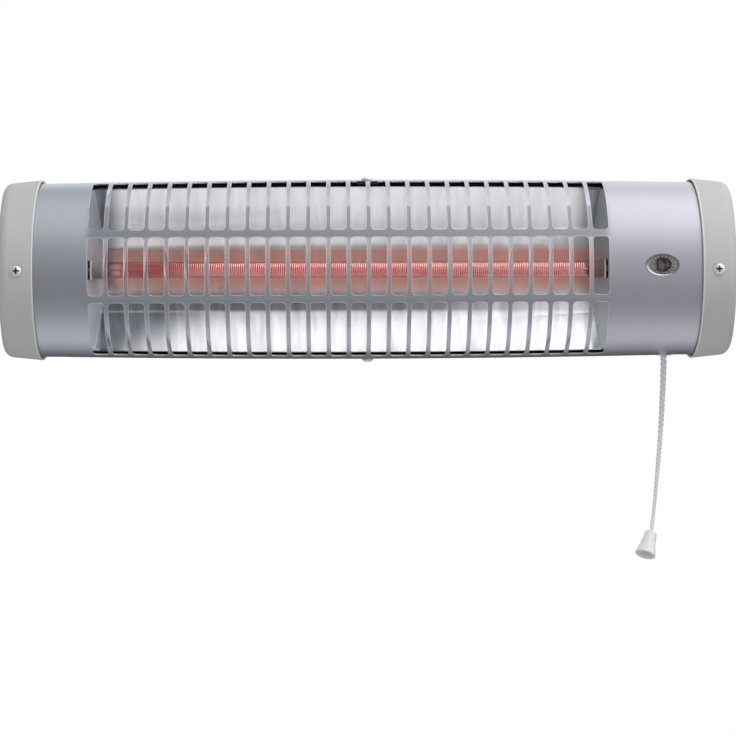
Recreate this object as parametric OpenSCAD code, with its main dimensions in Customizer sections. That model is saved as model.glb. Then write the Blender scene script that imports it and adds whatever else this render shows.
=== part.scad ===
// Wall-mounted radiant bar heater with a pull-cord switch.
// Millimetres. X runs along the heater, the front faces -Y, the wall is the plane y = 0 and Z is up.
// The origin is the middle of the wall bracket's two screw holes, on the wall face.

/* [Casing] */
// Outer radius of the curved casing
casing_r = 67; // [62:0.5:72]
// Thickness of the casing sheet
casing_t = 1; // [0.8:0.1:1.4]
// Angle from the front direction to each back edge of the curve
casing_half_angle = 105; // [100:1:110]
// Length of the casing between its open ends
casing_l = 512; // [460:2:600]
// Width of the flange turned in along each back edge
flange_w = 12; // [10:0.5:16]

/* [Grille] */
// Number of slots in each row
slot_count = 26; // [20:1:26]
// Width of the bar between two slots
slot_bar_w = 2.98; // [2.5:0.01:5]
// Length of plain casing to the left of the grille
plain_left_l = 46.05; // [46:0.05:60]
// Length of plain casing to the right of the grille, where the switch is
plain_right_l = 75.55; // [75:0.05:90]
// Corner radius of a slot
slot_corner_r = 2.8; // [1.5:0.1:3.5]
// Half of the angle that a middle slot covers
slot_mid_half_angle = 19.1; // [17:0.1:20]
// Half of the angle that an upper or lower slot covers
slot_outer_half_angle = 25.8; // [23:0.2:26]
// Angle covered by the bar between two rows
row_bar_angle = 4.7; // [4:0.1:6]
// Angle by which the whole pattern is turned up
pattern_turn = 2.5; // [0:0.1:4]

/* [Back] */
// Thickness of the back plate
back_t = 0.8; // [0.8:0.1:1.2]
// Clear distance from the wall to the back plate
wall_gap = 26; // [25:0.5:34]

/* [End caps] */
// Clear gap between the casing and an end cap's rim
cap_gap = 0.8; // [0.8:0.1:1.6]
// Amount by which an end cap narrows towards its corner
cap_draft = 2.3; // [1:0.1:3]
// Length of the tapered side of an end cap
cap_side_l = 21; // [18:0.5:26]
// Corner radius of an end cap
cap_corner_r = 8; // [6:0.5:10]
// Height of the end cap's domed end
cap_dome_h = 1.5; // [0.5:0.1:3]
// Wall thickness of an end cap
cap_wall = 1.8; // [1.8:0.1:2.6]
// Length of casing that an end cap covers
cap_overlap = 5; // [4:0.5:7]
// Angle by which the end face leans out towards the wall
cap_slant = 3.5; // [0:0.5:5]

/* [Reflector] */
// Thickness of the reflector sheet
reflector_t = 0.5; // [0.4:0.1:0.8]
// Half height of the flat middle facet
reflector_mid_z = 16.5; // [14:0.5:20]
// Half height at the second fold
reflector_fold_z = 32.5; // [28:0.5:36]
// Rise of the second fold towards the front
reflector_fold_rise = 3; // [2:0.5:6]
// Gap between the front edge and the casing
reflector_edge_gap = 2.7; // [1:0.05:3]
// Rise of the front edge towards the front
reflector_edge_rise = 16.5; // [14:0.5:19]
// Distance that an end panel leans out from back to front
panel_lean = 18; // [12:1:20]
// Distance from the outermost slot to an end panel's front edge
panel_margin = 12.8; // [12:0.2:14]

/* [Heating element] */
// Outer diameter of the quartz tube
tube_d = 12; // [10:0.5:13]
// Wall thickness of the quartz tube
tube_wall = 1; // [0.8:0.1:1.2]
// Distance of the tube's axis in front of the reflector's flat
tube_forward = 24; // [22:0.5:28]
// Diameter of the coil's wire
coil_wire_d = 1.1; // [0.8:0.1:1.3]
// Turns in the coil
coil_turns = 85; // [60:1:85]
// Length of a ceramic end plug
plug_l = 12; // [10:0.5:14]
// Distance from the glass's left end to the first turn of the coil
coil_gap_left = 13; // [8:0.5:16]
// Distance from the last turn of the coil to the glass's right end
coil_gap_right = 5.5; // [5:0.5:16]

/* [Window and switch] */
// Distance of the window's middle from the casing's right end
window_inset = 36; // [34:0.5:37]
// Width of the window's rim
window_w = 25.4; // [24:0.2:28]
// Height of the window's rim
window_h = 17; // [15:0.2:19]
// Radius of the indicator drum
drum_r = 8.5; // [7:0.25:9]
// Width of the indicator drum
drum_w = 10; // [8:0.5:11]
// Distance of the pull cord from the casing's right end
cord_inset = 26; // [24:0.5:28]
// Travel of the pull lever
pull_travel = 8; // [5:0.5:9]

/* [Pull cord] */
// Diameter of the cord where it leaves the heater
cord_top_d = 5.2; // [4:0.1:5.6]
// Diameter of the cord at the knob
cord_end_d = 2.8; // [2:0.1:3]
// Length of the bell-shaped knob
knob_l = 20; // [17:0.5:24]
// Outer diameter of the knob's mouth
knob_mouth_d = 16; // [14:0.5:18]

/* [Wall bracket] */
// Distance between the wall screw holes
wall_hole_spacing = 140; // [120:1:150]
// Diameter of a wall screw hole
wall_hole_d = 5.5; // [4.5:0.1:6.5]
// Thickness of the wall bracket's sheet
bracket_t = 2; // [1.5:0.1:2.5]
// Height of the wall bracket's plate
bracket_h = 40; // [36:1:44]
// Distance between the tilt bracket's outer faces
tilt_bracket_w = 176; // [170:1:190]
// Thickness of the tilt bracket's sheet
tilt_bracket_t = 1.5; // [1.2:0.1:2]
// Distance of the pivot from the wall
pivot_out = 16; // [15:0.5:17]
// Height of the casing's axis above the pivot
axis_above_pivot = 30; // [28:0.5:34]
// Diameter of a pivot bolt
pivot_d = 5; // [4:0.5:6]

/* [Hidden] */
$fn = 96;
eps = 0.01;

// Clearances
fit = 0.15;
running = 0.08;
side_play = 0.15;

// Main planes and places, derived from the sizes above
back_drop = -casing_r * cos(casing_half_angle);
edge_z = casing_r * sin(casing_half_angle);
inner_r = casing_r - casing_t;
end_x = casing_l / 2;
axis_y = -(wall_gap + back_t + back_drop);
axis_z = axis_above_pivot;
rim_x = end_x - cap_overlap;
cap_rim_r = casing_r + cap_gap + cap_wall;
cap_end_r = cap_rim_r - cap_draft;
cap_in_y = back_drop + back_t + 0.3;
cap_back_y = cap_in_y + cap_wall;

// Grille
outer_row_angle = slot_mid_half_angle + row_bar_angle + slot_outer_half_angle;
grille_w = casing_l - plain_left_l - plain_right_l;
grille_half_w = grille_w / 2;
grille_shift = (plain_left_l - plain_right_l) / 2;
slot_pitch = (grille_w + slot_bar_w) / slot_count;
slot_w = slot_pitch - slot_bar_w;
middle_screw_angles = [pattern_turn + 81.5, pattern_turn - 88.5];

// Reflector and element
reflector_edge_z = sqrt(pow(inner_r, 2) - pow(reflector_edge_rise, 2)) - reflector_edge_gap;
panel_left_x = grille_shift - grille_half_w - panel_margin;
panel_right_x = grille_shift + grille_half_w + panel_margin;
tube_r = tube_d / 2;
tube_bore_r = tube_r - tube_wall;
tube_y = -tube_forward;
panel_slope = panel_lean / inner_r;
holder_t = 1.2;
holder_left_x = panel_left_x + panel_slope * (inner_r - tube_forward);
holder_right_x = panel_right_x - panel_slope * (inner_r - tube_forward);
plug_socket_l = 3;
plug_wall = 0.7;
glass_left_x = holder_left_x + holder_t + plug_l - plug_socket_l;
glass_right_x = holder_right_x - holder_t - plug_l + plug_socket_l;
pin_r = 1.8;
pin_out = 11;
nut_h = 3;
nut_across = 7;
coil_r = tube_bore_r - 0.7 - coil_wire_d / 2;
coil_from = glass_left_x + coil_gap_left;
coil_to = glass_right_x - coil_gap_right;

// Screws
screw_r = 1.75;
screw_head_r = 4.3;
screw_head_h = 2.6;
small_screw_r = 1.5;
small_head_r = 3;
small_head_h = 1.8;
cap_screw_out = 6;
cap_boss_r = 4.5;
tab_t = 1.2;
tab_w = 16;
tray_t = 1;
tray_lip = 5;
tab_front_y = -(casing_r - 5);
tab_back_y = back_drop - 6;
cap_seat_y = -(cap_rim_r - 1.2);

// Window, drum and switch
window_x = end_x - window_inset;
window_z = casing_r * sin(pattern_turn) + 0.1;
lens_back_y = -(casing_r - 5.5);
lens_rim = 1.6;
lens_out = 1.6;
drum_y = lens_back_y + 3.5 + drum_r;
drum_x = window_x + 3;
drum_bore_r = 1.56;
axle_r = drum_bore_r - running;
cheek_t = 2;
cord_x = end_x - cord_inset;
plate_in_x = end_x - tray_t - tray_lip;
switch_x0 = drum_x - drum_w / 2 - 0.5 - cheek_t;
switch_x1 = plate_in_x;
switch_y0 = drum_y + drum_r + 3;
pocket_r = 5.6;
switch_y1 = pocket_r + 1.4;
switch_z1 = 20;
cover_t = 2;
lever_r = 2.5;
collar_r = 5;
collar_h = 2;
collar_z = switch_z1 - collar_h - fit;
spring_solid_l = 10.85;
pocket_z0 = collar_z - 2 * pull_travel - spring_solid_l;
switch_z0 = pocket_z0 - 5;
spring_r = (lever_r + pocket_r) / 2;
spring_wire_d = 0.9;
spring_turns = 6;

// Cord exit: the bottom of the grommet, straight below the casing's axis
grommet_lip_t = 0.6;
grommet_wall = 1.5;
exit_z = -(casing_r + grommet_lip_t);
cord_bore_r = cord_top_d / 2 + 0.6;
lever_end_z = switch_z0 - 20.5;

// Free cord, from the exit down to the knob, as points chosen by hand
cord_route = [
    [0, 0, -3], [0, 0, -8], [-0.3, 0, -16], [-0.8, 0, -28], [-1.5, 0, -42], [-2.5, 0, -58],
    [-3.7, 0, -74], [-4.9, 0, -88], [-6.1, 0, -101], [-7.2, 0, -113], [-8.2, -0.1, -122],
    [-9.1, -0.4, -130], [-10.2, -1.2, -137]
];
knob_top = cord_route[len(cord_route) - 1];
knob_lean = [-28, 20, 0];
knob_axis = -[cos(knob_lean[0]) * sin(knob_lean[1]), -sin(knob_lean[0]), cos(knob_lean[0]) * cos(knob_lean[1])];
knob_bore_r = cord_end_d / 2 + 0.25;
knob_roof = 5;

// Brackets
ear_gap = 1.3;
wall_ear_in = tilt_bracket_w / 2 + ear_gap;
wall_ear_r = 8;
tilt_base_h = 36;
tilt_base_rise = 6;
pivot_hole_r = pivot_d / 2 + running;
bolt_head_h = 3.2;
wall_hole_x = wall_hole_spacing / 2;

// Places of the electrical pieces, measured from the casing's right end
gland_x = end_x - 54;
gland_bore_r = 4;
gland_neck_r = gland_bore_r + 1.9;
block_x0 = end_x - 68;
block_w = 36;
block_z0 = edge_z - flange_w - 23.7;
block_h = 17;
block_d = 13;
clamp_z = block_z0 - 11;
gland_z = clamp_z - 16;
earth_x = end_x - 64;
earth_z = -24;
stud_r = 2;
wire_r = 1.1;
wire_run_y = back_drop - 14;
wire_run_z = edge_z - 9.75;

// Helpers

module at_axis() {
    translate([0, axis_y, axis_z]) children();
}

// Extrudes a profile drawn as [depth, height] along X.
module along_x(x0, l) {
    translate([x0, 0, 0]) rotate([90, 0, 90]) linear_extrude(l) children();
}

// Turns the local Z axis to point out of the casing at an angle above the front direction.
module radial(a) {
    rotate([90 - a, 0, 0]) children();
}

module rod_x(x0, x1, r) {
    translate([x0, 0, 0]) rotate([0, 90, 0]) cylinder(r = r, h = x1 - x0);
}

// A rod along Y from y0 to y1.
module rod_y(y0, y1, r) {
    translate([0, y1, 0]) rotate([90, 0, 0]) cylinder(r = r, h = y1 - y0);
}

module box(low, high) {
    translate(low) cube(high - low);
}

module rounded_rect(w, h, r) {
    square([w - 2 * r, h], center = true);
    square([w, h - 2 * r], center = true);
    for (sx = [-1, 1], sy = [-1, 1]) translate([sx * (w / 2 - r), sy * (h / 2 - r)]) circle(r, $fn = 24);
}

module ellipse(w, h) {
    polygon([for (i = [0:39]) [w / 2 * cos(i * 9), h / 2 * sin(i * 9)]]);
}

// Cross-recess pan-head screw: the seat is at z = 0, the head above it and the shank below.
module pan_screw(head_r, head_h, shank_r, shank_l) {
    difference() {
        union() {
            cylinder(r = head_r, h = head_h * 0.45);
            translate([0, 0, head_h * 0.45]) intersection() {
                translate([0, 0, head_h * 0.55 - head_r * 1.25]) sphere(head_r * 1.25, $fn = 48);
                cylinder(r = head_r, h = head_h);
            }
        }
        for (a = [0, 90]) rotate([0, 0, a]) translate([-head_r * 0.52, -head_r * 0.12, head_h * 0.45])
            cube([head_r * 1.04, head_r * 0.24, head_h]);
    }
    translate([0, 0, -shank_l]) cylinder(r = shank_r, h = shank_l + eps);
}

// Sweep of a round section along a list of points. The section's frame is carried
// from ring to ring, so it doesn't spin.
function unit(v) = v / norm(v);
function tangents(p) = [for (i = [0:len(p) - 1])
    unit(p[min(i + 1, len(p) - 1)] - p[max(i - 1, 0)])];
function squared_to(u, t) = unit(u - (u * t) * t);
function carried(t, u0) = [for (i = 0, u = squared_to(u0, t[0]); i < len(t);
    i = i + 1, u = i < len(t) ? squared_to(u, t[i]) : u) u];
function rings(p, radii, sides, u0) = let (t = tangents(p), u = carried(t, u0))
    [for (i = [0:len(p) - 1], k = [0:sides - 1])
        p[i] + radii[i] * (cos(360 * k / sides) * u[i] + sin(360 * k / sides) * cross(t[i], u[i]))];

module sweep(p, radii, sides, u0) {
    n = len(p);
    polyhedron(
        points = rings(p, radii, sides, u0),
        faces = concat(
            [for (i = [0:n - 2], k = [0:sides - 1])
                [i * sides + k, (i + 1) * sides + k, (i + 1) * sides + (k + 1) % sides]],
            [for (i = [0:n - 2], k = [0:sides - 1])
                [i * sides + k, (i + 1) * sides + (k + 1) % sides, i * sides + (k + 1) % sides]],
            [for (k = [1:sides - 2]) [0, k, k + 1]],
            [for (k = [1:sides - 2]) [(n - 1) * sides, (n - 1) * sides + k + 1, (n - 1) * sides + k]]
        )
    );
}

// Catmull-Rom curve through points, with k steps from one point to the next.
function curve_at(a, b, c, d, t) = 0.5 * ((2 * b) + (c - a) * t + (2 * a - 5 * b + 4 * c - d) * t * t
    + (3 * b - a - 3 * c + d) * t * t * t);
function curve(p, k) = let (n = len(p) - 1) concat(
    [for (i = [0:n - 1], j = [0:k - 1])
        curve_at(p[max(i - 1, 0)], p[i], p[i + 1], p[min(i + 2, n)], j / k)],
    [p[n]]);
function same(v, n) = [for (i = [1:n]) v];

// An insulated wire: straight at both ends, curved through the points between.
module wire(p) {
    n = len(p) - 1;
    q = concat([p[0]], curve([for (i = [1:n - 1]) p[i]], 3), [p[n]]);
    sweep(q, same(wire_r, len(q)), 8, [0.31, 0.52, 0.79]);
}

// Sections of the housing

module casing_section() {
    difference() {
        circle(casing_r, $fn = 180);
        circle(inner_r, $fn = 180);
        translate([back_drop, -casing_r]) square([casing_r, 2 * casing_r]);
    }
    for (s = [-1, 1])
        translate([back_drop - casing_t, s > 0 ? edge_z - flange_w : -edge_z]) square([casing_t, flange_w]);
}

// Everything inside the curved sheet and in front of the flanges, drawn in by a margin.
module inside_section(margin) {
    difference() {
        circle(inner_r - margin, $fn = 180);
        translate([back_drop - casing_t - margin, -casing_r]) square([casing_r, 2 * casing_r]);
    }
}

// The reflector's front line as [depth, height], from the upper edge to the lower one.
reflector_line = [
    [-reflector_edge_rise, reflector_edge_z], [-reflector_fold_rise, reflector_fold_z],
    [0, reflector_mid_z], [0, -reflector_mid_z],
    [-reflector_fold_rise, -reflector_fold_z], [-reflector_edge_rise, -reflector_edge_z]
];

module reflector_section() {
    back_line = [for (i = [5:-1:0]) reflector_line[i] + [reflector_t, 0]];
    polygon(concat(reflector_line, back_line));
    for (s = [-1, 1])
        translate([-reflector_edge_rise, s > 0 ? reflector_edge_z - reflector_t : -reflector_edge_z])
            square([5, reflector_t]);
}

// Pieces that stay on the wall

module wall_bracket() color("gainsboro") {
    half_w = wall_ear_in + bracket_t;
    difference() {
        box([-half_w, -bracket_t, -bracket_h / 2], [half_w, 0, bracket_h / 2]);
        for (s = [-1, 1]) translate([s * wall_hole_x, 0, 0]) rod_y(-bracket_t - 1, 1, wall_hole_d / 2);
    }
    for (s = [-1, 1]) wall_ear(s);
}

module wall_ear(s) {
    x0 = s > 0 ? wall_ear_in : -wall_ear_in - bracket_t;
    difference() {
        along_x(x0, bracket_t) {
            translate([-pivot_out, 0]) circle(wall_ear_r, $fn = 64);
            polygon([[-pivot_out, -wall_ear_r], [-pivot_out, wall_ear_r], [-bracket_t / 2, bracket_h / 2 - 2],
                [-bracket_t / 2, -bracket_h / 2 + 2]]);
        }
        translate([0, -pivot_out, 0]) rod_x(x0 - 1, x0 + bracket_t + 1, pivot_hole_r);
    }
}

module pivot_bolts() color("silver") for (s = [0, 1]) mirror([s, 0, 0]) {
    head_x = tilt_bracket_w / 2 - tilt_bracket_t - side_play;
    translate([0, -pivot_out, 0]) {
        rod_x(head_x, wall_ear_in + bracket_t + 9, pivot_d / 2);
        translate([head_x - bolt_head_h, 0, 0]) rotate([0, 90, 0])
            cylinder(d = pivot_d * 1.75, h = bolt_head_h, $fn = 6);
    }
}

module pivot_washers() color("ivory") for (s = [0, 1]) mirror([s, 0, 0])
    translate([0, -pivot_out, 0]) difference() {
        rod_x(tilt_bracket_w / 2 + side_play, wall_ear_in - side_play, wall_ear_r - 1);
        rod_x(tilt_bracket_w / 2 - 1, wall_ear_in + 1, pivot_hole_r);
    }

module wing_nuts() color("silver") for (s = [0, 1]) mirror([s, 0, 0])
    translate([wall_ear_in + bracket_t, -pivot_out, 0]) difference() {
        union() {
            rod_x(0, 5, pivot_d * 0.85);
            for (w = [0, 1]) mirror([0, 0, w]) translate([1, -1, pivot_d * 0.6]) cube([9, 2, 8]);
        }
        rod_x(-1, 6, pivot_hole_r);
    }

// Pieces that tilt: bracket, back and casing

module tilt_bracket() color("gainsboro") {
    y0 = -wall_gap;
    y1 = y0 + tilt_bracket_t;
    half_w = tilt_bracket_w / 2;
    low_z = tilt_base_rise - tilt_base_h / 2;
    high_z = tilt_base_rise + tilt_base_h / 2;
    difference() {
        union() {
            box([-half_w, y0, low_z], [half_w, y1, high_z]);
            for (s = [0, 1]) mirror([s, 0, 0]) along_x(half_w - tilt_bracket_t, tilt_bracket_t) {
                translate([-pivot_out, 0]) circle(wall_ear_r, $fn = 64);
                polygon([[-pivot_out, -wall_ear_r], [-pivot_out, wall_ear_r],
                    [(y0 + y1) / 2, high_z - 2], [(y0 + y1) / 2, low_z + 2]]);
            }
        }
        translate([0, -pivot_out, 0]) rod_x(-half_w - 1, half_w + 1, pivot_hole_r);
        for (x = rivet_xs, z = rivet_zs) translate([x, 0, z]) rod_y(y0 - 1, y1 + 1, rivet_r + fit);
    }
}

rivet_r = 2;
rivet_xs = [-tilt_bracket_w / 2 + 14, tilt_bracket_w / 2 - 14];
rivet_zs = [-4, tilt_base_h / 2 - 1];

module tilt_bracket_rivets() color("silver") for (x = rivet_xs, z = rivet_zs) translate([x, -wall_gap, z]) {
    rod_y(-back_t - 1, tilt_bracket_t + eps, rivet_r);
    rod_y(tilt_bracket_t, tilt_bracket_t + 1.2, rivet_r * 1.8);
    rod_y(-back_t - 1.8, -back_t, rivet_r * 1.5);
}

back_screw_zs = [-edge_z + flange_w / 2, edge_z - flange_w / 2];
back_screw_xs = [for (i = [-1:1]) i * (end_x - 40)];

// A hole through the back plate, at a place measured from the casing's axis.
module back_hole(x, z, r) {
    translate([x, 0, z]) rod_y(back_drop - 1, back_drop + back_t + 1, r);
}

module back_plate() color("silver") at_axis() difference() {
    along_x(-end_x + 1, casing_l - 2) translate([back_drop, -edge_z + 0.5]) square([back_t, 2 * edge_z - 1]);
    for (x = back_screw_xs, z = back_screw_zs) back_hole(x, z, screw_r + fit);
    for (x = rivet_xs, z = rivet_zs) back_hole(x, z - axis_z, rivet_r + fit);
    back_hole(gland_x, gland_z, gland_neck_r + 0.1);
    for (s = [-1, 1]) back_hole(gland_x + s * clamp_screw_dx, clamp_z, small_screw_r + fit);
    back_hole(block_screw_x, block_z0 + block_h / 2, small_screw_r + fit);
    back_hole(earth_x, earth_z, stud_r + fit);
}

module back_plate_screws() color("silver") at_axis() for (x = back_screw_xs, z = back_screw_zs)
    translate([x, back_drop + back_t, z]) rotate([-90, 0, 0]) pan_screw(3.6, 2, screw_r, 6);

module casing() color("lightsteelblue") at_axis() difference() {
    along_x(-end_x, casing_l) casing_section();
    slot_row(pattern_turn, slot_mid_half_angle);
    slot_row(pattern_turn + outer_row_angle, slot_outer_half_angle);
    slot_row(pattern_turn - outer_row_angle, slot_outer_half_angle);
    translate([window_x, 0, window_z]) rotate([90, 0, 0]) linear_extrude(casing_r + 5)
        ellipse(window_w - 2 * lens_rim, window_h - 2 * lens_rim);
    for (a = middle_screw_angles) radial(a) translate([0, 0, inner_r - 1])
        cylinder(r = screw_r + fit, h = casing_t + 2);
    translate([cord_x, 0, exit_z - 1]) cylinder(r = cord_bore_r + grommet_wall + fit, h = 6);
    for (x = back_screw_xs, z = back_screw_zs) translate([x, 0, z])
        rod_y(back_drop - 3, back_drop + 1, screw_r + fit);
}

// One row of slots, cut straight in at the row's middle angle.
module slot_row(a, half_angle) {
    radial(a) translate([grille_shift, 0, casing_r * cos(half_angle) - 4]) linear_extrude(casing_r)
        for (i = [0:slot_count - 1]) translate([(i - (slot_count - 1) / 2) * slot_pitch, 0])
            rounded_rect(slot_w, 2 * casing_r * sin(half_angle), slot_corner_r);
}

module casing_screws() color("silver") at_axis() for (a = middle_screw_angles)
    radial(a) translate([0, 0, casing_r]) pan_screw(screw_head_r, screw_head_h, screw_r, 6);

// Sheet-steel tray that closes one end of the casing and carries the cap's tabs.
module end_tray() {
    tab_low = [plate_in_x + 0.5, 0, -tab_w / 2];
    tab_high = [end_x + 2 * cap_screw_out, tab_t, tab_w / 2];
    difference() {
        union() {
            along_x(plate_in_x, tray_t) inside_section(fit);
            along_x(plate_in_x + tray_t, tray_lip) difference() {
                inside_section(fit);
                inside_section(fit + tray_t);
            }
            for (y = [tab_front_y, tab_back_y - tab_t]) translate([0, y, 0]) box(tab_low, tab_high);
        }
        translate([end_x + cap_screw_out, 0, 0]) rod_y(tab_front_y - 1, tab_back_y + 1, screw_r + 0.05);
    }
}

switch_screw_places = [[-30, 12], [-30, -6]];

module end_plate_left() color("gainsboro") at_axis() mirror([1, 0, 0]) end_tray();

module end_plate_right() color("gainsboro") at_axis() difference() {
    end_tray();
    for (p = switch_screw_places) translate([0, p[0], p[1]])
        rod_x(plate_in_x - 1, plate_in_x + 2, small_screw_r + fit);
}

cap_taper = (cap_rim_r - cap_end_r) / cap_side_l;

// Half section of an end cap about its own axis, drawn in by a wall.
module cap_outline(inset) {
    corner = cap_end_r - cap_corner_r;
    polygon([[0, -8], [cap_rim_r + 8 * cap_taper - inset, -8], [cap_end_r - inset, cap_side_l],
        [corner, cap_side_l + cap_corner_r - inset], [0, cap_side_l + cap_corner_r + cap_dome_h - inset]]);
    translate([corner, cap_side_l]) circle(cap_corner_r - inset);
}

module cap_form(inset, from_x, back_y) {
    far = 2 * casing_r;
    intersection() {
        translate([rim_x, 0, 0]) rotate([0, 0, -cap_slant]) rotate([0, 90, 0])
            rotate_extrude($fn = 180) cap_outline(inset);
        box([from_x, -far, -far], [rim_x + casing_r, back_y, far]);
    }
}

module cap_right() {
    x = end_x + cap_screw_out;
    far = 2 * casing_r;
    difference() {
        union() {
            difference() {
                cap_form(0, rim_x, cap_back_y);
                cap_form(cap_wall, rim_x + cap_overlap + 1, cap_in_y);
                intersection() {
                    rod_x(rim_x - 1, rim_x + cap_overlap + 1 + eps, cap_rim_r - cap_wall);
                    box([rim_x - 2, -far, -far], [rim_x + casing_r, cap_in_y, far]);
                }
            }
            translate([x, 0, 0]) rod_y(cap_seat_y + 1, tab_front_y - fit, cap_boss_r);
            translate([x, 0, 0]) rod_y(tab_back_y + fit, cap_in_y + 1, cap_boss_r);
        }
        translate([x, 0, 0]) rod_y(-far, far, screw_r + fit);
        translate([x, 0, 0]) rod_y(-far, cap_seat_y, screw_head_r + 0.5);
    }
}

module end_cap_right() color("silver") at_axis() cap_right();

module end_cap_left() color("silver") at_axis() mirror([1, 0, 0]) cap_right();

module cap_seal() {
    along_x(rim_x + 0.4, cap_overlap - 0.6) difference() {
        circle(cap_rim_r - cap_wall - 0.05, $fn = 180);
        circle(casing_r + 0.05, $fn = 180);
        translate([back_drop - 1, -2 * casing_r]) square(4 * casing_r);
    }
}

module cap_seal_right() color("dimgray") at_axis() cap_seal();

module cap_seal_left() color("dimgray") at_axis() mirror([1, 0, 0]) cap_seal();

module cap_screws() color("silver") at_axis() for (s = [0, 1]) mirror([s, 0, 0]) {
    translate([end_x + cap_screw_out, cap_seat_y, 0]) rotate([90, 0, 0])
        pan_screw(screw_head_r, screw_head_h, screw_r, -cap_seat_y + tab_front_y + 4);
    translate([end_x + cap_screw_out, cap_back_y, 0]) rotate([-90, 0, 0])
        pan_screw(screw_head_r, screw_head_h, screw_r, cap_back_y - tab_back_y + 4);
}

// Reflector

foot_l = 8;
foot_rivet_r = 1.25;
foot_rivet_zs = [-4.5, 4.5];
foot_rivet_xs = [holder_left_x - foot_l / 2, holder_right_x + foot_l / 2];

module reflector() color("whitesmoke") at_axis() difference() {
    along_x(panel_left_x - 3, panel_right_x - panel_left_x + 6) reflector_section();
    for (x = foot_rivet_xs, z = foot_rivet_zs) translate([x, 0, z])
        rod_y(-1, reflector_t + 1, foot_rivet_r + 0.05);
}

// Slanted sheet that closes one end of the trough, with a window for the tube's end.
module reflector_end(x_front, s) {
    thick = 0.6;
    difference() {
        intersection() {
            translate([0, 0, -casing_r]) linear_extrude(2 * casing_r) polygon([
                [x_front, -inner_r], [x_front - s * panel_lean, 0],
                [x_front - s * (panel_lean + thick), 0], [x_front - s * thick, -inner_r]]);
            along_x(x_front - 60, 120) intersection() {
                circle(inner_r - 0.3, $fn = 180);
                polygon(concat([for (p = reflector_line) p - [0.35, 0]],
                    [[-2 * casing_r, -reflector_edge_z], [-2 * casing_r, reflector_edge_z]]));
            }
        }
        box([x_front - 60, tube_y - tube_r - 5, -9], [x_front + 60, tube_y + tube_r + 5, 9]);
    }
}

module reflector_end_left() color("lightgray") at_axis() reflector_end(panel_left_x, -1);

module reflector_end_right() color("lightgray") at_axis() reflector_end(panel_right_x, 1);

// Strips under the casing that take its middle screws and hold the reflector's lips.
module reflector_stays() color("gainsboro") at_axis() for (a = middle_screw_angles) difference() {
    along_x(-8, 16) intersection() {
        difference() {
            circle(inner_r - 0.1, $fn = 180);
            circle(inner_r - 1.3, $fn = 180);
        }
        translate([-reflector_edge_rise + 1, a > 0 ? 0 : -casing_r])
            square([reflector_edge_rise + 3, casing_r]);
    }
    radial(a) translate([0, 0, inner_r - 4]) cylinder(r = screw_r + 0.05, h = 6);
}

// Heating element

module at_tube() {
    translate([0, tube_y, 0]) children();
}

module quartz_tube() color("lightgray") at_axis() at_tube() difference() {
    rod_x(glass_left_x, glass_right_x, tube_r);
    rod_x(glass_left_x - 1, glass_right_x + 1, tube_bore_r);
}

// The coil's line: a lead along the axis, half a turn out, the turns, half a turn in and a lead.
steps = 8;
lead_out = 3;
function coil_point(i) = let (
    k = i / steps, n = coil_turns,
    pitch = (coil_to - coil_from) / n,
    over = k < 0 ? k : k > n ? k - n : 0,
    out = 1 - 2 * abs(over),
    x = coil_from + (k - over) * pitch + 2 * lead_out * over,
    r = coil_r * out * (2 - out)
) [x, r * cos(360 * k), r * sin(360 * k)];
coil_line = concat(
    [[glass_left_x, 0, 0]],
    [for (i = [-steps / 2:coil_turns * steps + steps / 2]) coil_point(i)],
    [[glass_right_x, 0, 0]]
);
// Least clear distance between two neighbouring turns, measured on the line's points
coil_self_gap = min([for (i = [steps:coil_turns * steps])
    min([for (j = [-1:1]) norm(coil_point(i) - coil_point(i - steps + j))])]) - coil_wire_d;
echo(coil_self_gap = coil_self_gap);

module heating_coil() color("orangered") at_axis() at_tube()
    sweep(coil_line, same(coil_wire_d / 2, len(coil_line)), 6, [0, 0, 1]);

// Ceramic plug on the left end of the tube.
module plug(x0, glass_x, s) {
    socket_x = glass_x - s * 0.05;
    at_tube() difference() {
        rod_x(min(x0, glass_x + s * plug_socket_l), max(x0, glass_x + s * plug_socket_l), tube_r + plug_wall);
        rod_x(min(socket_x, socket_x + s * 9), max(socket_x, socket_x + s * 9), tube_r + 0.05);
        rod_x(min(x0, glass_x) - 1, max(x0, glass_x) + 1, pin_r + 0.05);
    }
}

module tube_plug_left() color("ivory") at_axis() plug(holder_left_x + holder_t, glass_left_x, 1);

module tube_plug_right() color("ivory") at_axis() plug(holder_right_x - holder_t, glass_right_x, -1);

// Upright bracket that stands on the reflector and carries one end of the tube.
module tube_bracket(outer_x, s) {
    half = tube_r + 1.2;
    x1 = outer_x + s * holder_t;
    foot_x = outer_x - s * foot_l;
    difference() {
        union() {
            box([min(outer_x, x1), tube_y - half, -half], [max(outer_x, x1), -0.1, half]);
            box([min(foot_x, x1), -0.1 - holder_t, -half], [max(foot_x, x1), -0.1, half]);
        }
        at_tube() rod_x(outer_x - 3, outer_x + 3, pin_r + 0.2);
        for (z = foot_rivet_zs) translate([outer_x - s * foot_l / 2, 0, z]) rod_y(-3, 1, foot_rivet_r + 0.05);
    }
}

module tube_bracket_left() color("silver") at_axis() tube_bracket(holder_left_x, 1);

module tube_bracket_right() color("silver") at_axis() tube_bracket(holder_right_x, -1);

module tube_bracket_rivets() color("silver") at_axis()
for (x = foot_rivet_xs, z = foot_rivet_zs) translate([x, 0, z]) {
    rod_y(-0.1 - holder_t - eps, reflector_t + eps, foot_rivet_r);
    rod_y(-0.9 - holder_t, -0.1 - holder_t, foot_rivet_r * 1.7);
    rod_y(reflector_t, reflector_t + 0.8, foot_rivet_r * 1.7);
}

module terminal_pin_left() color("silver") at_axis() at_tube()
    rod_x(holder_left_x - pin_out, glass_left_x, pin_r);

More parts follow.
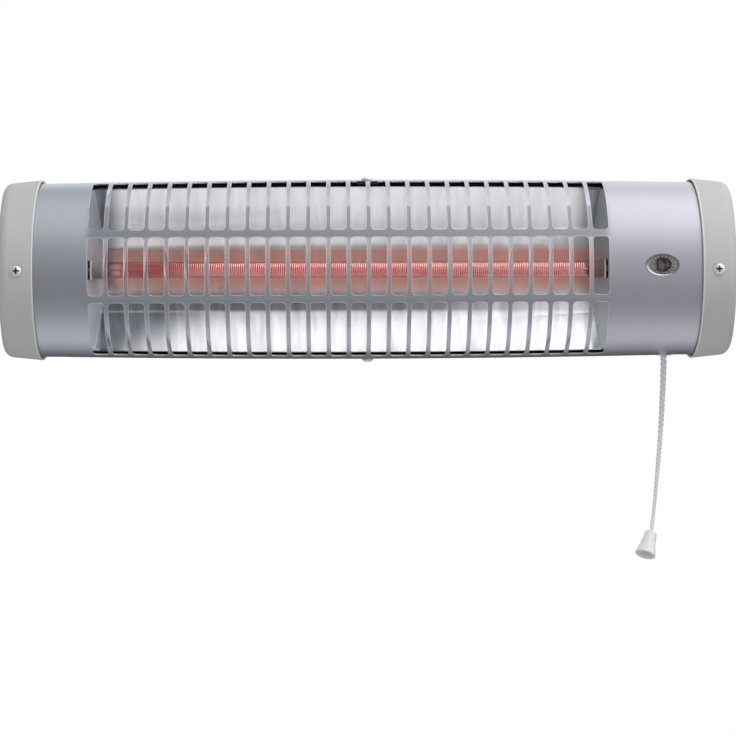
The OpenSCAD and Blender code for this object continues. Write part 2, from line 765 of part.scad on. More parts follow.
module terminal_pin_right() color("silver") at_axis() at_tube()
    rod_x(glass_right_x, holder_right_x + pin_out, pin_r);

module hex_nut(bore_r, across) {
    difference() {
        cylinder(d = across * 1.1547, h = nut_h, $fn = 6);
        translate([0, 0, -1]) cylinder(r = bore_r, h = nut_h + 2);
    }
}

module terminal_nuts() color("silver") at_axis() at_tube() for (k = [0, 1]) {
    out = 0.1 + k * (nut_h + 1);
    translate([holder_left_x - out - nut_h, 0, 0]) rotate([0, 90, 0]) hex_nut(pin_r + 0.05, nut_across);
    translate([holder_right_x + out, 0, 0]) rotate([0, 90, 0]) hex_nut(pin_r + 0.05, nut_across);
}

// Window, indicator and switch

module window_lens() color("white", 0.4) at_axis() difference() {
    union() {
        difference() {
            translate([window_x, -casing_r + 3, window_z]) rotate([90, 0, 0])
                linear_extrude(3 + lens_out) ellipse(window_w, window_h);
            rod_x(window_x - window_w, window_x + window_w, casing_r + 0.05);
        }
        translate([window_x, lens_back_y, window_z]) rotate([90, 0, 0])
            linear_extrude(casing_r + lens_out / 2 + lens_back_y)
                ellipse(window_w - 2 * lens_rim - 0.4, window_h - 2 * lens_rim - 0.4);
    }
    translate([window_x, -casing_r - 1, window_z]) rotate([90, 0, 0])
        linear_extrude(3) ellipse(window_w - 5, window_h - 5);
}

// The drum carries the number and has a ring of ratchet teeth at its right side.
module indicator_drum() color("gray") at_axis() translate([0, drum_y, window_z]) difference() {
    ratchet_x = drum_x + drum_w / 2 - 2;
    union() {
        rod_x(drum_x - drum_w / 2, ratchet_x, drum_r);
        along_x(ratchet_x - eps, 2)
            polygon([for (i = [0:15]) let (low = i % 2, a = i * 22.5 + low * 16)
                (drum_r - 0.6 - 2 * low) * [cos(a), sin(a)]]);
    }
    rod_x(drum_x - drum_w, drum_x + drum_w, drum_bore_r);
}

module drum_axle() color("silver") at_axis() translate([0, drum_y, window_z])
    rod_x(drum_x - drum_w / 2 - 0.5 - cheek_t, drum_x + drum_w / 2 + 0.5 + cheek_t, axle_r);

cover_screw_places = [[switch_x0 + 4.5, switch_y0 + 5], [switch_x0 + 4.5, switch_y1 - 4]];
terminal_tab_zs = [-6, 4, 14];
terminal_tab_y = -10;

module switch_body() color("ivory") at_axis() difference() {
    union() {
        box([switch_x0, switch_y0, switch_z0], [switch_x1 - 0.05, switch_y1, switch_z1]);
        for (x = [switch_x0, drum_x + drum_w / 2 + 0.5])
            box([x, drum_y - 5, window_z - 6], [x + cheek_t, switch_y0 + eps, window_z + 6]);
    }
    translate([cord_x, 0, pocket_z0]) cylinder(r = pocket_r, h = switch_z1 - pocket_z0 + 1);
    translate([cord_x, 0, switch_z0 - 1]) cylinder(r = lever_r + running, h = 20);
    translate([0, drum_y, window_z]) rod_x(switch_x0 - 1, drum_x + drum_w, axle_r + 0.02);
    for (z = terminal_tab_zs)
        box([switch_x0 - 1, terminal_tab_y - 2.1, z - 0.5], [switch_x0 + 4.1, terminal_tab_y + 2.1, z + 0.5]);
    for (p = cover_screw_places) translate([p[0], p[1], switch_z1 - 7])
        cylinder(r = small_screw_r + 0.05, h = 8);
    for (p = switch_screw_places) translate([0, p[0], p[1]])
        rod_x(switch_x1 - 8.5, switch_x1 + 1, small_screw_r + 0.05);
}

module switch_cover() color("ivory") at_axis() difference() {
    box([switch_x0, switch_y0, switch_z1], [switch_x1 - 0.05, switch_y1, switch_z1 + cover_t]);
    for (p = cover_screw_places) translate([p[0], p[1], switch_z1 - 1])
        cylinder(r = small_screw_r + fit, h = 8);
}

module switch_cover_screws() color("silver") at_axis() for (p = cover_screw_places)
    translate([p[0], p[1], switch_z1 + cover_t]) pan_screw(small_head_r, small_head_h, small_screw_r, 8);

module switch_terminals() color("goldenrod") at_axis() for (z = terminal_tab_zs)
    box([switch_x0 - 6, terminal_tab_y - 2, z - 0.4], [switch_x0 + 4, terminal_tab_y + 2, z + 0.4]);

module switch_screws() color("silver") at_axis() for (p = switch_screw_places)
    translate([plate_in_x + tray_t, p[0], p[1]]) rotate([0, 90, 0])
        pan_screw(small_head_r, small_head_h, small_screw_r, 8);

module pull_lever() color("white") at_axis() translate([cord_x, 0, 0]) {
    translate([0, 0, lever_end_z]) cylinder(r = lever_r, h = collar_z - lever_end_z + eps);
    translate([0, 0, collar_z]) cylinder(r = collar_r, h = collar_h);
    translate([0, 0, lever_end_z]) cylinder(r = lever_r + 1, h = 5);
}

spring_line = let (low = pocket_z0 + spring_wire_d / 2 + 0.05, high = collar_z - spring_wire_d / 2 - 0.05)
    [for (i = [0:spring_turns * steps]) let (k = i / steps)
        [spring_r * cos(360 * k), spring_r * sin(360 * k), low + (high - low) * k / spring_turns]];

module lever_spring() color("silver") at_axis() translate([cord_x, 0, 0])
    sweep(spring_line, same(spring_wire_d / 2, len(spring_line)), 6, [0, 0, 1]);

// Pull cord

module cord_grommet() color("white") at_axis() translate([cord_x, 0, 0]) difference() {
    union() {
        translate([0, 0, exit_z]) cylinder(r = cord_bore_r + grommet_wall, h = 5);
        translate([0, 0, exit_z]) cylinder(r = cord_bore_r + grommet_wall + 1.1, h = grommet_lip_t - 0.05);
        translate([0, 0, -inner_r + 0.5]) cylinder(r = cord_bore_r + grommet_wall + 1.5, h = 1.5);
    }
    translate([0, 0, exit_z - 1]) cylinder(r = cord_bore_r, h = 8);
}

module cord_upper() color("white") at_axis()
    translate([cord_x, 0, exit_z]) cylinder(d = cord_top_d, h = lever_end_z - exit_z);

module at_exit() {
    at_axis() translate([cord_x, 0, exit_z]) children();
}

// The cord's top is rounded about the point where it swings.
module pull_cord() color("white") at_exit() {
    top = cord_top_d / 2;
    dome = [for (a = [5, 30, 60]) [0, 0, cord_route[0][2] + top * cos(a)]];
    line = concat(dome, cord_route, [knob_top + knob_roof * knob_axis]);
    n = len(line);
    radii = concat([for (a = [5, 30, 60]) top * sin(a)],
        [for (i = [3:n - 1]) top + (cord_end_d / 2 - top) * (i - 3) / (n - 4)]);
    sweep(line, radii, 10, [1, 0, 0]);
}

module at_knob() {
    at_exit() translate(knob_top) rotate(knob_lean) children();
}

// Bell outline: a round shoulder, then a curve that opens towards the mouth.
function bell_r(t, shoulder, mouth) = shoulder + (mouth - shoulder) * pow(t, 1.5);

module cord_knob() color("white") at_knob() difference() {
    mouth = knob_mouth_d / 2;
    rotate_extrude($fn = 64) polygon(concat([[0, 0], [3.4, 0], [4.3, -0.5]],
        [for (i = [0:8]) [bell_r(i / 8, 4.7, mouth), -1.4 - (knob_l - 1.9) * i / 8]],
        [[mouth - 0.5, -knob_l], [0, -knob_l]]));
    rotate_extrude($fn = 64) polygon(concat([[0, -knob_roof]],
        [for (i = [0:6]) [bell_r(i / 6, 3.4, mouth - 1.9), -knob_roof - (knob_l - knob_roof) * i / 6]],
        [[mouth - 1.9, -knob_l - 1], [0, -knob_l - 1]]));
    translate([0, 0, -knob_roof - 1]) cylinder(r = knob_bore_r, h = knob_roof + 2, $fn = 32);
    translate([0, 0, -1.2]) cylinder(r1 = knob_bore_r, r2 = knob_bore_r + 1.2, h = 1.3, $fn = 32);
}

module cord_knot() color("white") at_knob() translate([0, 0, -knob_roof - 2.5]) sphere(2.4, $fn = 32);

// Mains inlet and wiring

clamp_screw_dx = 9.5;
clamp_t = 9;
block_screw_x = block_x0 + 12;
block_y0 = back_drop - block_d;

module cable_gland() color("dimgray") at_axis() translate([gland_x, 0, gland_z]) difference() {
    union() {
        rod_y(back_drop - 3, back_drop - 0.05, gland_bore_r + 4);
        rod_y(back_drop - 3, back_drop + back_t + 5, gland_neck_r);
        rod_y(back_drop + back_t + 0.05, back_drop + back_t + 3, gland_bore_r + 4);
    }
    rod_y(back_drop - 5, back_drop + back_t + 7, gland_bore_r);
}

module cable_clamp() color("white") at_axis() difference() {
    box([gland_x - 13, back_drop - clamp_t, clamp_z - 4], [gland_x + 13, back_drop - 0.05, clamp_z + 4]);
    translate([gland_x, back_drop - 3.6, clamp_z - 5]) cylinder(r = gland_bore_r - 0.2, h = 10);
    for (s = [-1, 1]) translate([gland_x + s * clamp_screw_dx, 0, clamp_z])
        rod_y(back_drop - clamp_t - 1, back_drop + 1, small_screw_r + fit);
}

module clamp_screws() color("silver") at_axis() for (s = [-1, 1])
    translate([gland_x + s * clamp_screw_dx, back_drop - clamp_t, clamp_z]) rotate([90, 0, 0])
        pan_screw(small_head_r, small_head_h, small_screw_r, clamp_t + back_t + 1);

pole_xs = [block_x0 + 6, block_x0 + 18, block_x0 + 30];
pole_screw_zs = [block_z0 + 4.5, block_z0 + block_h - 4.5];
wire_y = block_y0 + block_d / 2;

module terminal_block() color("white") at_axis() difference() {
    box([block_x0, block_y0, block_z0], [block_x0 + block_w, back_drop - 0.05, block_z0 + block_h]);
    for (x = pole_xs, z = pole_screw_zs) translate([x, 0, z]) rod_y(block_y0 - 1, block_y0 + 5, 2);
    for (x = [pole_xs[0] + 6, pole_xs[1] + 6])
        box([x - 0.6, block_y0 - 1, block_z0 - 1], [x + 0.6, block_y0 + 2, block_z0 + block_h + 1]);
    translate([block_screw_x, 0, block_z0 + block_h / 2])
        rod_y(back_drop - 8, back_drop + 1, small_screw_r + 0.05);
}

module terminal_screws() color("goldenrod") at_axis()
for (x = pole_xs, z = pole_screw_zs) translate([x, 0, z]) difference() {
    rod_y(block_y0 + 0.5, block_y0 + 5, 1.9);
    box([-2, block_y0, -0.3], [2, block_y0 + 1.2, 0.3]);
}

module block_screw() color("silver") at_axis()
    translate([block_screw_x, back_drop + back_t, block_z0 + block_h / 2]) rotate([-90, 0, 0])
        pan_screw(small_head_r, small_head_h, small_screw_r, 8);

module earth_stud() color("goldenrod") at_axis() translate([earth_x, 0, earth_z]) {
    rod_y(back_drop - 11, back_drop + back_t + eps, stud_r);
    rod_y(back_drop + back_t, back_drop + back_t + 1.2, 2 * stud_r);
}

module earth_nuts() color("goldenrod") at_axis() translate([earth_x, 0, earth_z]) for (k = [0, 1])
    translate([0, back_drop - 0.1 - k * (nut_h + 1), 0]) rotate([90, 0, 0])
        hex_nut(stud_r + 0.05, nut_across);

module wire_live() color("saddlebrown") at_axis() wire([
    [pole_xs[2], wire_y, block_z0 + block_h + 0.05], [pole_xs[2], wire_y, block_z0 + block_h + 3],
    [pole_xs[2] - 4, 0, block_z0 + block_h + 2], [pole_xs[2] - 15, -8, block_z0],
    [switch_x0 - 14, terminal_tab_y, terminal_tab_zs[2] + 4],
    [switch_x0 - 8.5, terminal_tab_y, terminal_tab_zs[2]], [switch_x0 - 6.1, terminal_tab_y, terminal_tab_zs[2]]
]);

module wire_switched() color("white") at_axis() wire([
    [switch_x0 - 6.1, terminal_tab_y, terminal_tab_zs[1]],
    [switch_x0 - 8.5, terminal_tab_y, terminal_tab_zs[1]],
    [switch_x0 - 12, tube_y + 9, 3], [switch_x0 - 13, tube_y + 4, 1],
    [holder_right_x + pin_out + 2.5, tube_y, 0], [holder_right_x + pin_out + 0.1, tube_y, 0]
]);

module wire_neutral() color("royalblue") at_axis() wire([
    [pole_xs[1], wire_y, block_z0 + block_h + 0.05], [pole_xs[1], wire_y, block_z0 + block_h + 3],
    [pole_xs[1] - 8, wire_run_y, wire_run_z], [panel_right_x - 20, wire_run_y, wire_run_z],
    [0, wire_run_y, wire_run_z], [panel_left_x + 10, wire_run_y, wire_run_z],
    [panel_left_x - 10, wire_run_y - 5, wire_run_z - 11],
    [panel_left_x - 14, tube_y + 10, wire_run_z / 2 - 1.5], [panel_left_x - 14, tube_y + 5, 6],
    [holder_left_x - pin_out - 2.5, tube_y, 0], [holder_left_x - pin_out - 0.1, tube_y, 0]
]);

module wire_earth() color("green") at_axis() wire([
    [pole_xs[0], wire_y, block_z0 + block_h + 0.05], [pole_xs[0], wire_y, block_z0 + block_h + 2.5],
    [block_x0 - 1, wire_y - 0.6, block_z0 + block_h + 4.5], [block_x0 - 5, wire_y - 1.1, block_z0 + block_h],
    [earth_x - 9, wire_y - 1.6, block_z0 - 3], [earth_x - 10, wire_y - 1.6, (block_z0 + earth_z) / 2 - 2.5],
    [earth_x - 10, wire_y + 0.4, earth_z + 7], [earth_x - 7, wire_y + 0.9, earth_z],
    [earth_x - 4.2, wire_y + 0.9, earth_z]
]);

wall_bracket();
pivot_bolts();
pivot_washers();
wing_nuts();
tilt_bracket();
tilt_bracket_rivets();
back_plate();
back_plate_screws();
casing();
casing_screws();
end_plate_left();
end_plate_right();
end_cap_left();
end_cap_right();
cap_seal_left();
cap_seal_right();
cap_screws();
reflector();
reflector_end_left();
reflector_end_right();
reflector_stays();
quartz_tube();
heating_coil();
tube_plug_left();
tube_plug_right();
tube_bracket_left();
tube_bracket_right();
tube_bracket_rivets();
terminal_pin_left();
terminal_pin_right();
terminal_nuts();
window_lens();
indicator_drum();
drum_axle();
switch_body();
switch_cover();
switch_cover_screws();
switch_terminals();
switch_screws();
pull_lever();
lever_spring();
cord_grommet();
cord_upper();
pull_cord();
cord_knob();
cord_knot();
cable_gland();
cable_clamp();
clamp_screws();
terminal_block();
terminal_screws();
block_screw();
earth_stud();
earth_nuts();
wire_live();
wire_switched();
wire_neutral();
wire_earth();
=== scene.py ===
import math

import bmesh
import bpy
import numpy as np
from mathutils import Euler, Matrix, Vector


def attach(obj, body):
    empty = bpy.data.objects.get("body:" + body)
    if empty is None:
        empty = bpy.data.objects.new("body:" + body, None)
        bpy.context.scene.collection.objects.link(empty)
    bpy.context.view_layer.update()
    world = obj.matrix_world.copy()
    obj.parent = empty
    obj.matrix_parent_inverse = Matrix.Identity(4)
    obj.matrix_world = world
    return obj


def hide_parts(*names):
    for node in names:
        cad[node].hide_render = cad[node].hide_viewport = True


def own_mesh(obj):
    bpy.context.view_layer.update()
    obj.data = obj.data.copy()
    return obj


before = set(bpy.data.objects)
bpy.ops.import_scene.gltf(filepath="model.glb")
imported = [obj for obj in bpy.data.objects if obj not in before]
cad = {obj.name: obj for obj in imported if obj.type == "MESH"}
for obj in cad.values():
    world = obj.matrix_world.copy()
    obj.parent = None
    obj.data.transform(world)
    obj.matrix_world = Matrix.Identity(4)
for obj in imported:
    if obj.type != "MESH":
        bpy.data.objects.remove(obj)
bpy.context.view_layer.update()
mm = 0.001


# The camera. It stands level with the heater, 1.7 m in front of the casing, and looks at the
# wall almost squarely. The heater is high in the picture, so the frame is shifted.
def linked(name, data):
    """Makes an object of a mesh, a lamp or a camera, in the scene."""
    made = bpy.data.objects.new(name, data)
    bpy.context.collection.objects.link(made)
    return made


view = bpy.data.cameras.new("camera")
view.sensor_width = 36
view.lens = 110.77
view.shift_x = 0.0004
view.shift_y = -0.1518
view.clip_end = 60
camera = linked("camera", view)
camera.location = (-0.0247, -1.8, 0.040)
camera.rotation_euler = (math.radians(90), math.radians(0.184), math.radians(-0.819))
bpy.context.scene.camera = camera


# The pull cord. Three strands of white yarn are laid round each other, thick at the top and
# thin at the bottom, and a smooth sleeve binds their last centimetre above the knob.
cord_exit = Vector((230, -44.141, -37.6)) * mm
cord_points = [
    (0, 0, -0.4), (0, 0, -3), (0, 0, -8), (-0.3, 0, -16), (-0.8, 0, -28), (-1.5, 0, -42),
    (-2.5, 0, -58), (-3.7, 0, -74), (-4.9, 0, -88), (-6.1, 0, -101), (-7.2, 0, -113),
    (-8.2, -0.1, -122), (-9.1, -0.4, -130), (-10.2, -1.2, -137)]
cord_top_r, cord_end_r = 2.6 * mm, 1.3 * mm
lay_top, lay_end = 14.4 * mm, 7.4 * mm
cord_step, sleeve_l = 0.7 * mm, 10 * mm
# Shares of the cord's radius: a strand's own, and how far out its middle lies.
strand_r, strand_out = 0.475, 0.525
knob_turn = Euler((math.radians(-28), math.radians(20), 0)).to_matrix()
knob_top = cord_exit + Vector(cord_points[-1]) * mm
knob_roof = 5 * mm


class Value:
    """A socket that Python's operators can be used on: each adds a Math node."""
    def __init__(self, tree, socket):
        self.tree = tree
        self.socket = socket

    def math(self, operation, *others):
        return self.tree.math(operation, self, *others)

    def __add__(self, other):
        return self.math("ADD", other)

    def __sub__(self, other):
        return self.math("SUBTRACT", other)

    def __rsub__(self, other):
        return self.tree.math("SUBTRACT", other, self)

    def __mul__(self, other):
        return self.math("MULTIPLY", other)

    def __truediv__(self, other):
        return self.math("DIVIDE", other)

    def __rtruediv__(self, other):
        return self.tree.math("DIVIDE", other, self)

    def __abs__(self):
        return self.math("ABSOLUTE")

    __radd__, __rmul__ = __add__, __mul__

    def step(self, low, high):
        """0 below low, 1 above high, smooth between them."""
        return self.tree.node("ShaderNodeMapRange", {"interpolation_type": "SMOOTHSTEP"},
                              {"Value": self, "From Min": low, "From Max": high})


class Tree:
    """A node tree that nodes are added to, for shaders, the world and Geometry Nodes."""
    def __init__(self, tree):
        self.tree = tree

    def node(self, kind, settings=None, sockets=None, out=0):
        """Adds a node: its settings first, then the values or links of its sockets."""
        made = self.tree.nodes.new(kind)
        for key, setting in (settings or {}).items():
            if key == "stops":
                stops = made.color_ramp.elements
                for i, (place, colour) in enumerate(setting):
                    stop = stops[i] if i < 2 else stops.new(place)
                    stop.position = place
                    stop.color = (*colour, 1)
            else:
                setattr(made, key, setting)
        for key, value in (sockets or {}).items():
            self.join(value, made.inputs[key])
        return Value(self, made.outputs[out]) if made.outputs else made

    def join(self, value, socket):
        if isinstance(value, Value):
            self.tree.links.new(value.socket, socket)
        elif socket.type == "RGBA" and len(value) == 3:
            socket.default_value = (*value, 1)
        else:
            socket.default_value = value

    def math(self, operation, *values):
        return self.node("ShaderNodeMath", {"operation": operation}, dict(enumerate(values)))

    def parts(self, vector):
        """The x, y and z of a vector."""
        split = self.node("ShaderNodeSeparateXYZ", sockets={0: vector})
        return [Value(self, socket) for socket in split.socket.node.outputs]

    def vector(self, x=0, y=0, z=0):
        return self.node("ShaderNodeCombineXYZ", sockets={0: x, 1: y, 2: z})

    def mix(self, mask, low, high):
        """A colour that goes from low to high as the mask goes from 0 to 1."""
        return self.node("ShaderNodeMix", {"data_type": "RGBA"}, {0: mask, 6: low, 7: high}, out=2)

    def noise(self, place, scale, detail):
        return self.node("ShaderNodeTexNoise", sockets={
            "Vector": place, "Scale": scale, "Detail": detail})

    def cells(self, place, scale):
        """A random number for each of many small cells."""
        colour = self.node("ShaderNodeTexVoronoi", sockets={
            "Vector": place, "Scale": scale}, out="Color")
        return self.parts(colour)[0]

    def bump(self, height, distance):
        return self.node("ShaderNodeBump", sockets={"Height": height, "Distance": distance})


class Finish(Tree):
    """A material whose pattern is placed on Object coordinates."""
    def __init__(self, name):
        self.material = bpy.data.materials.new(name)
        self.material.use_nodes = True
        super().__init__(self.material.node_tree)
        self.tree.nodes.clear()
        self.place = self.node("ShaderNodeTexCoord", out="Object")

    def surface(self, **sockets):
        """Ends the finish in a Principled shader; a socket's spaces are written as _."""
        shader = self.node("ShaderNodeBsdfPrincipled", sockets={
            key.replace("_", " "): value for key, value in sockets.items()})
        self.node("ShaderNodeOutputMaterial", sockets={0: shader})
        return self


def placed(mesh, finish, body):
    """Makes an object of a mesh in the shared frame, with its finish, that rides on a body."""
    mesh.materials.clear()
    mesh.materials.append(finish.material)
    return carried(linked(mesh.name, mesh), body)


def carried(made, body):
    """Makes an object ride on a body."""
    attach(made, body)
    return made


def piece(name, points, faces, finish, body, slot, flat=False):
    """Makes a piece from points and faces."""
    mesh = bpy.data.meshes.new(name)
    mesh.from_pydata([tuple(p) for p in points], [], faces)
    mesh.polygons.foreach_set("use_smooth", [not flat] * len(mesh.polygons))
    return placed(mesh, finish, body)


def smooth_path(points, step):
    """A Catmull-Rom curve through points, as points about one step apart."""
    ends = [points[0] * 2 - points[1], *points, points[-1] * 2 - points[-2]]
    path = []
    for a, b, c, d in zip(ends, ends[1:], ends[2:], ends[3:]):
        count = max(1, round((c - b).length / step))
        for i in range(count):
            t = i / count
            path.append(0.5 * (2 * b + (c - a) * t + (2 * a - 5 * b + 4 * c - d) * t * t
                               + (3 * b - a - 3 * c + d) * t ** 3))
    return path + [points[-1]]


def heading(path, i):
    """The way a path goes at one of its points."""
    return (path[min(i + 1, len(path) - 1)] - path[max(i - 1, 0)]).normalized()


def skin(rings, sides, ends):
    """The faces that join rings of points in a row, and close the two ends."""
    faces = []
    for i in range(rings - 1):
        for k in range(sides):
            a, b = i * sides + k, i * sides + (k + 1) % sides
            faces.append((a, b, b + sides, a + sides))
    if ends:
        last = (rings - 1) * sides
        faces += [tuple(reversed(range(sides))), tuple(range(last, last + sides))]
    return faces


def tube(path, radii, sides, ends=True):
    """A round skin along a path. Returns its points and faces; the frame is carried along."""
    points, across = [], None
    for i, at in enumerate(path):
        ahead = heading(path, i)
        if across is None:
            across = ahead.orthogonal()
        across = (across - ahead * across.dot(ahead)).normalized()
        other = ahead.cross(across)
        for k in range(sides):
            turn = 2 * math.pi * k / sides
            points.append(at + radii[i] * (math.cos(turn) * across + math.sin(turn) * other))
    return points, skin(len(path), sides, ends)


def together(parts):
    """Joins lists of points and faces."""
    points, faces = [], []
    for some_points, some_faces in parts:
        faces += [tuple(i + len(points) for i in face) for face in some_faces]
        points += some_points
    return points, faces


def strands(path, radius_at, lay_at, sides=10):
    """Three strands laid round a path. radius_at and lay_at take the share of the length."""
    lines, radii = [[], [], []], []
    laid = 0
    for i, at in enumerate(path):
        share = i / (len(path) - 1)
        ahead = heading(path, i)
        right = Vector((1, 0, 0))
        right = (right - ahead * right.dot(ahead)).normalized()
        back = right.cross(ahead)
        if i:
            laid += 2 * math.pi * (at - path[i - 1]).length / lay_at(share)
        radii.append(radius_at(share) * strand_r)
        for k, line in enumerate(lines):
            turn = laid + 2 * math.pi * k / 3
            side = math.cos(turn) * right + math.sin(turn) * back
            line.append(at + radius_at(share) * strand_out * side)
    return together(tube(line, radii, sides) for line in lines)


yarn = Finish("cord_yarn")
fibres = yarn.noise(yarn.place, 2600, 2) * 0.6 + yarn.noise(yarn.place, 700, 1) * 0.4
yarn.surface(
    Base_Color=yarn.mix(fibres.step(0.3, 0.7), (0.74, 0.74, 0.78), (0.90, 0.90, 0.91)),
    Roughness=0.8, Normal=yarn.bump(fibres, 0.0002), Sheen_Weight=0.25)

cord_line = smooth_path([cord_exit + Vector(p) * mm for p in cord_points], cord_step)
knob_down = knob_turn @ Vector((0, 0, -1))
cord_line += [knob_top + knob_down * knob_roof * k / 6 for k in range(1, 7)]
cord_length = sum((b - a).length for a, b in zip(cord_line, cord_line[1:]))


def cord_r(share):
    return cord_top_r + (cord_end_r - cord_top_r) * share


def cord_lay(share):
    return lay_top + (lay_end - lay_top) * share ** 0.8


sleeve_from = len(cord_line) - round((sleeve_l + knob_roof) / cord_step)
sleeve_line = cord_line[sleeve_from:]
sleeve_radii = [cord_end_r * (1.02 + 0.14 * min(1, i / 3)) for i in range(len(sleeve_line))]
twisted_cord = piece(
    "twisted_cord",
    *together([strands(cord_line, cord_r, cord_lay), tube(sleeve_line, sleeve_radii, 16)]),
    yarn, "cord", "cord_fibre")
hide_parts("pull_cord")


# The knob. A white moulded bell hangs at an angle on the cord, its mouth open towards the
# room, and a knot inside holds it.
def turned(profile, sides):
    """A lathe form about Z from (radius, height) pairs. A pair on the axis is one point."""
    points, rings = [], []
    for radius, height in profile:
        if radius < 1e-7:
            rings.append([len(points)])
            points.append(Vector((0, 0, height)))
        else:
            rings.append(range(len(points), len(points) + sides))
            points += [Vector((radius * math.cos(a), radius * math.sin(a), height))
                       for a in (2 * math.pi * k / sides for k in range(sides))]
    faces = []
    for low, high in zip(rings, rings[1:]):
        for k in range(sides):
            n = (k + 1) % sides
            if len(low) == 1:
                faces.append((low[0], high[n], high[k]))
            elif len(high) == 1:
                faces.append((low[k], low[n], high[0]))
            else:
                faces.append((low[k], low[n], high[n], high[k]))
    return points, faces


def moved(form, turn, to):
    """A form's points, turned and then put in their place."""
    points, faces = form
    return [turn @ p + to for p in points], faces


def mottled(name, scale, detail, low, high, rough, relief=None, **sockets):
    """A finish with one noise, which varies its colour, its roughness and its fine relief."""
    finish = Finish(name)
    grain = finish.noise(finish.place, scale, detail)
    smoothest, roughest = rough
    if relief:
        sockets["Normal"] = finish.bump(grain, relief)
    return finish.surface(Base_Color=finish.mix(grain, low, high),
                          Roughness=smoothest + grain * (roughest - smoothest), **sockets)


bell_plastic = mottled("bell_plastic", 900, 3, (0.77, 0.76, 0.77), (0.83, 0.82, 0.82),
                       (0.32, 0.40), 0.00004, Subsurface_Weight=0.1, Subsurface_Scale=0.002)

# Radius and height in mm: the cord's hole, the neck, down to the mouth, and up inside.
bell = [(1.7, -0.9), (1.9, -0.35), (2.5, 0), (3.3, -0.02), (3.9, -0.25), (4.4, -0.7)]
bell += [(4.7 + 3.3 * t ** 1.5, -1.4 - 18.1 * t) for t in (k / 14 for k in range(15))]
bell += [(7.95, -19.8), (7.6, -20), (6.6, -20), (6.15, -19.8)]
bell += [(3.4 + 2.7 * t ** 1.5, -5 - 14.6 * t) for t in (k / 10 for k in range(10, -1, -1))]
bell += [(2.4, -4.9), (1.7, -4.9), (1.7, -0.9)]
bell = [(r * mm, z * mm) for r, z in reversed(bell)]
bell_knob = piece("bell_knob", *moved(turned(bell, 72), knob_turn, knob_top),
                  bell_plastic, "cord", "knob_plastic")
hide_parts("cord_knob")

# The knot is one closed loop of cord that winds three times through itself.
knot_size, knot_cord_r, knot_depth = 0.55 * mm, 0.85 * mm, 7.5 * mm
knot_turns = [2 * math.pi * k / 90 for k in range(91)]
knot_line = [Vector((math.sin(t) + 2 * math.sin(2 * t), math.cos(t) - 2 * math.cos(2 * t),
                     -1.4 * math.sin(3 * t))) * knot_size for t in knot_turns]
knot = tube(knot_line, [knot_cord_r] * len(knot_line), 10, ends=False)
tied_knot = piece("tied_knot", *moved(knot, knob_turn, knob_top + knob_down * knot_depth),
                  yarn, "cord", "cord_fibre")
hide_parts("cord_knot")


# The cord's stretch inside the casing. It is the same laid yarn, drawn a little tighter, and
# goes from the grommet straight up to the switch's pull lever.
upper_line = [Vector((cord_exit.x, cord_exit.y, z * mm)) for z in np.linspace(-37.6, -4.5, 60)]
upper_strands = strands(upper_line, lambda share: cord_top_r * 0.95, lambda share: lay_top)
upper_cord = piece("upper_cord", *upper_strands, yarn, "lever", "cord_fibre")
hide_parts("cord_upper")


# The casing. One sheet of steel is pierced with three rows of slots and rolled round. Its
# top and bottom spring out a little between the ends. It is sprayed silver with a blue cast.
axis_y, axis_z = -44.141 * mm, 30 * mm
casing_r = 67 * mm
bow_rise, bow_reach = 2.4 * mm, 240 * mm
# The bow grows between two heights off the axis, and ends between two depths behind it.
bow_heights, bow_depths = (25 * mm, 64 * mm), (2 * mm, 16 * mm)
grille_x, grille_half = -14.75 * mm, 195 * mm


def eased(values, low, high):
    """0 below low, 1 above high, smooth between them."""
    share = np.clip((values - low) / (high - low), 0, 1)
    return share * share * (3 - 2 * share)


def array(items, key, width=3, kind=float):
    """One property of all the vertices, faces or corners of a mesh."""
    values = np.empty(len(items) * width, kind)
    items.foreach_get(key, values)
    return values.reshape(-1, width)


def bow(mesh):
    """Moves the sheet's top and bottom outwards, most at the middle of its length."""
    spots = array(mesh.vertices, "co")
    depth, height = spots[:, 1] - axis_y, spots[:, 2] - axis_z
    along = np.maximum(0, 1 - (spots[:, 0] / bow_reach) ** 2)
    spots[:, 2] += (bow_rise * along * np.sign(height) * eased(abs(height), *bow_heights)
                    * (1 - eased(depth, *bow_depths)))
    mesh.vertices.foreach_set("co", spots.ravel())
    mesh.update()


def round_shading(mesh):
    """Shades the rolled sheet as a true curve, and keeps its cut edges crisp."""
    curve = 0.97
    outward = array(mesh.vertices, "co") - (0, axis_y, axis_z)
    outward[:, 0] = 0
    outward /= np.linalg.norm(outward, axis=1)[:, None]
    counts = array(mesh.polygons, "loop_total", 1, int)[:, 0]
    faces = np.repeat(array(mesh.polygons, "normal"), counts, axis=0)
    outward = outward[array(mesh.loops, "vertex_index", 1, int)[:, 0]]
    facing = (faces * outward).sum(axis=1)[:, None]
    normals = np.where(facing > curve, outward, np.where(facing < -curve, -outward, faces))
    mesh.polygons.foreach_set("use_smooth", [True] * len(mesh.polygons))
    mesh.normals_split_custom_set(normals)


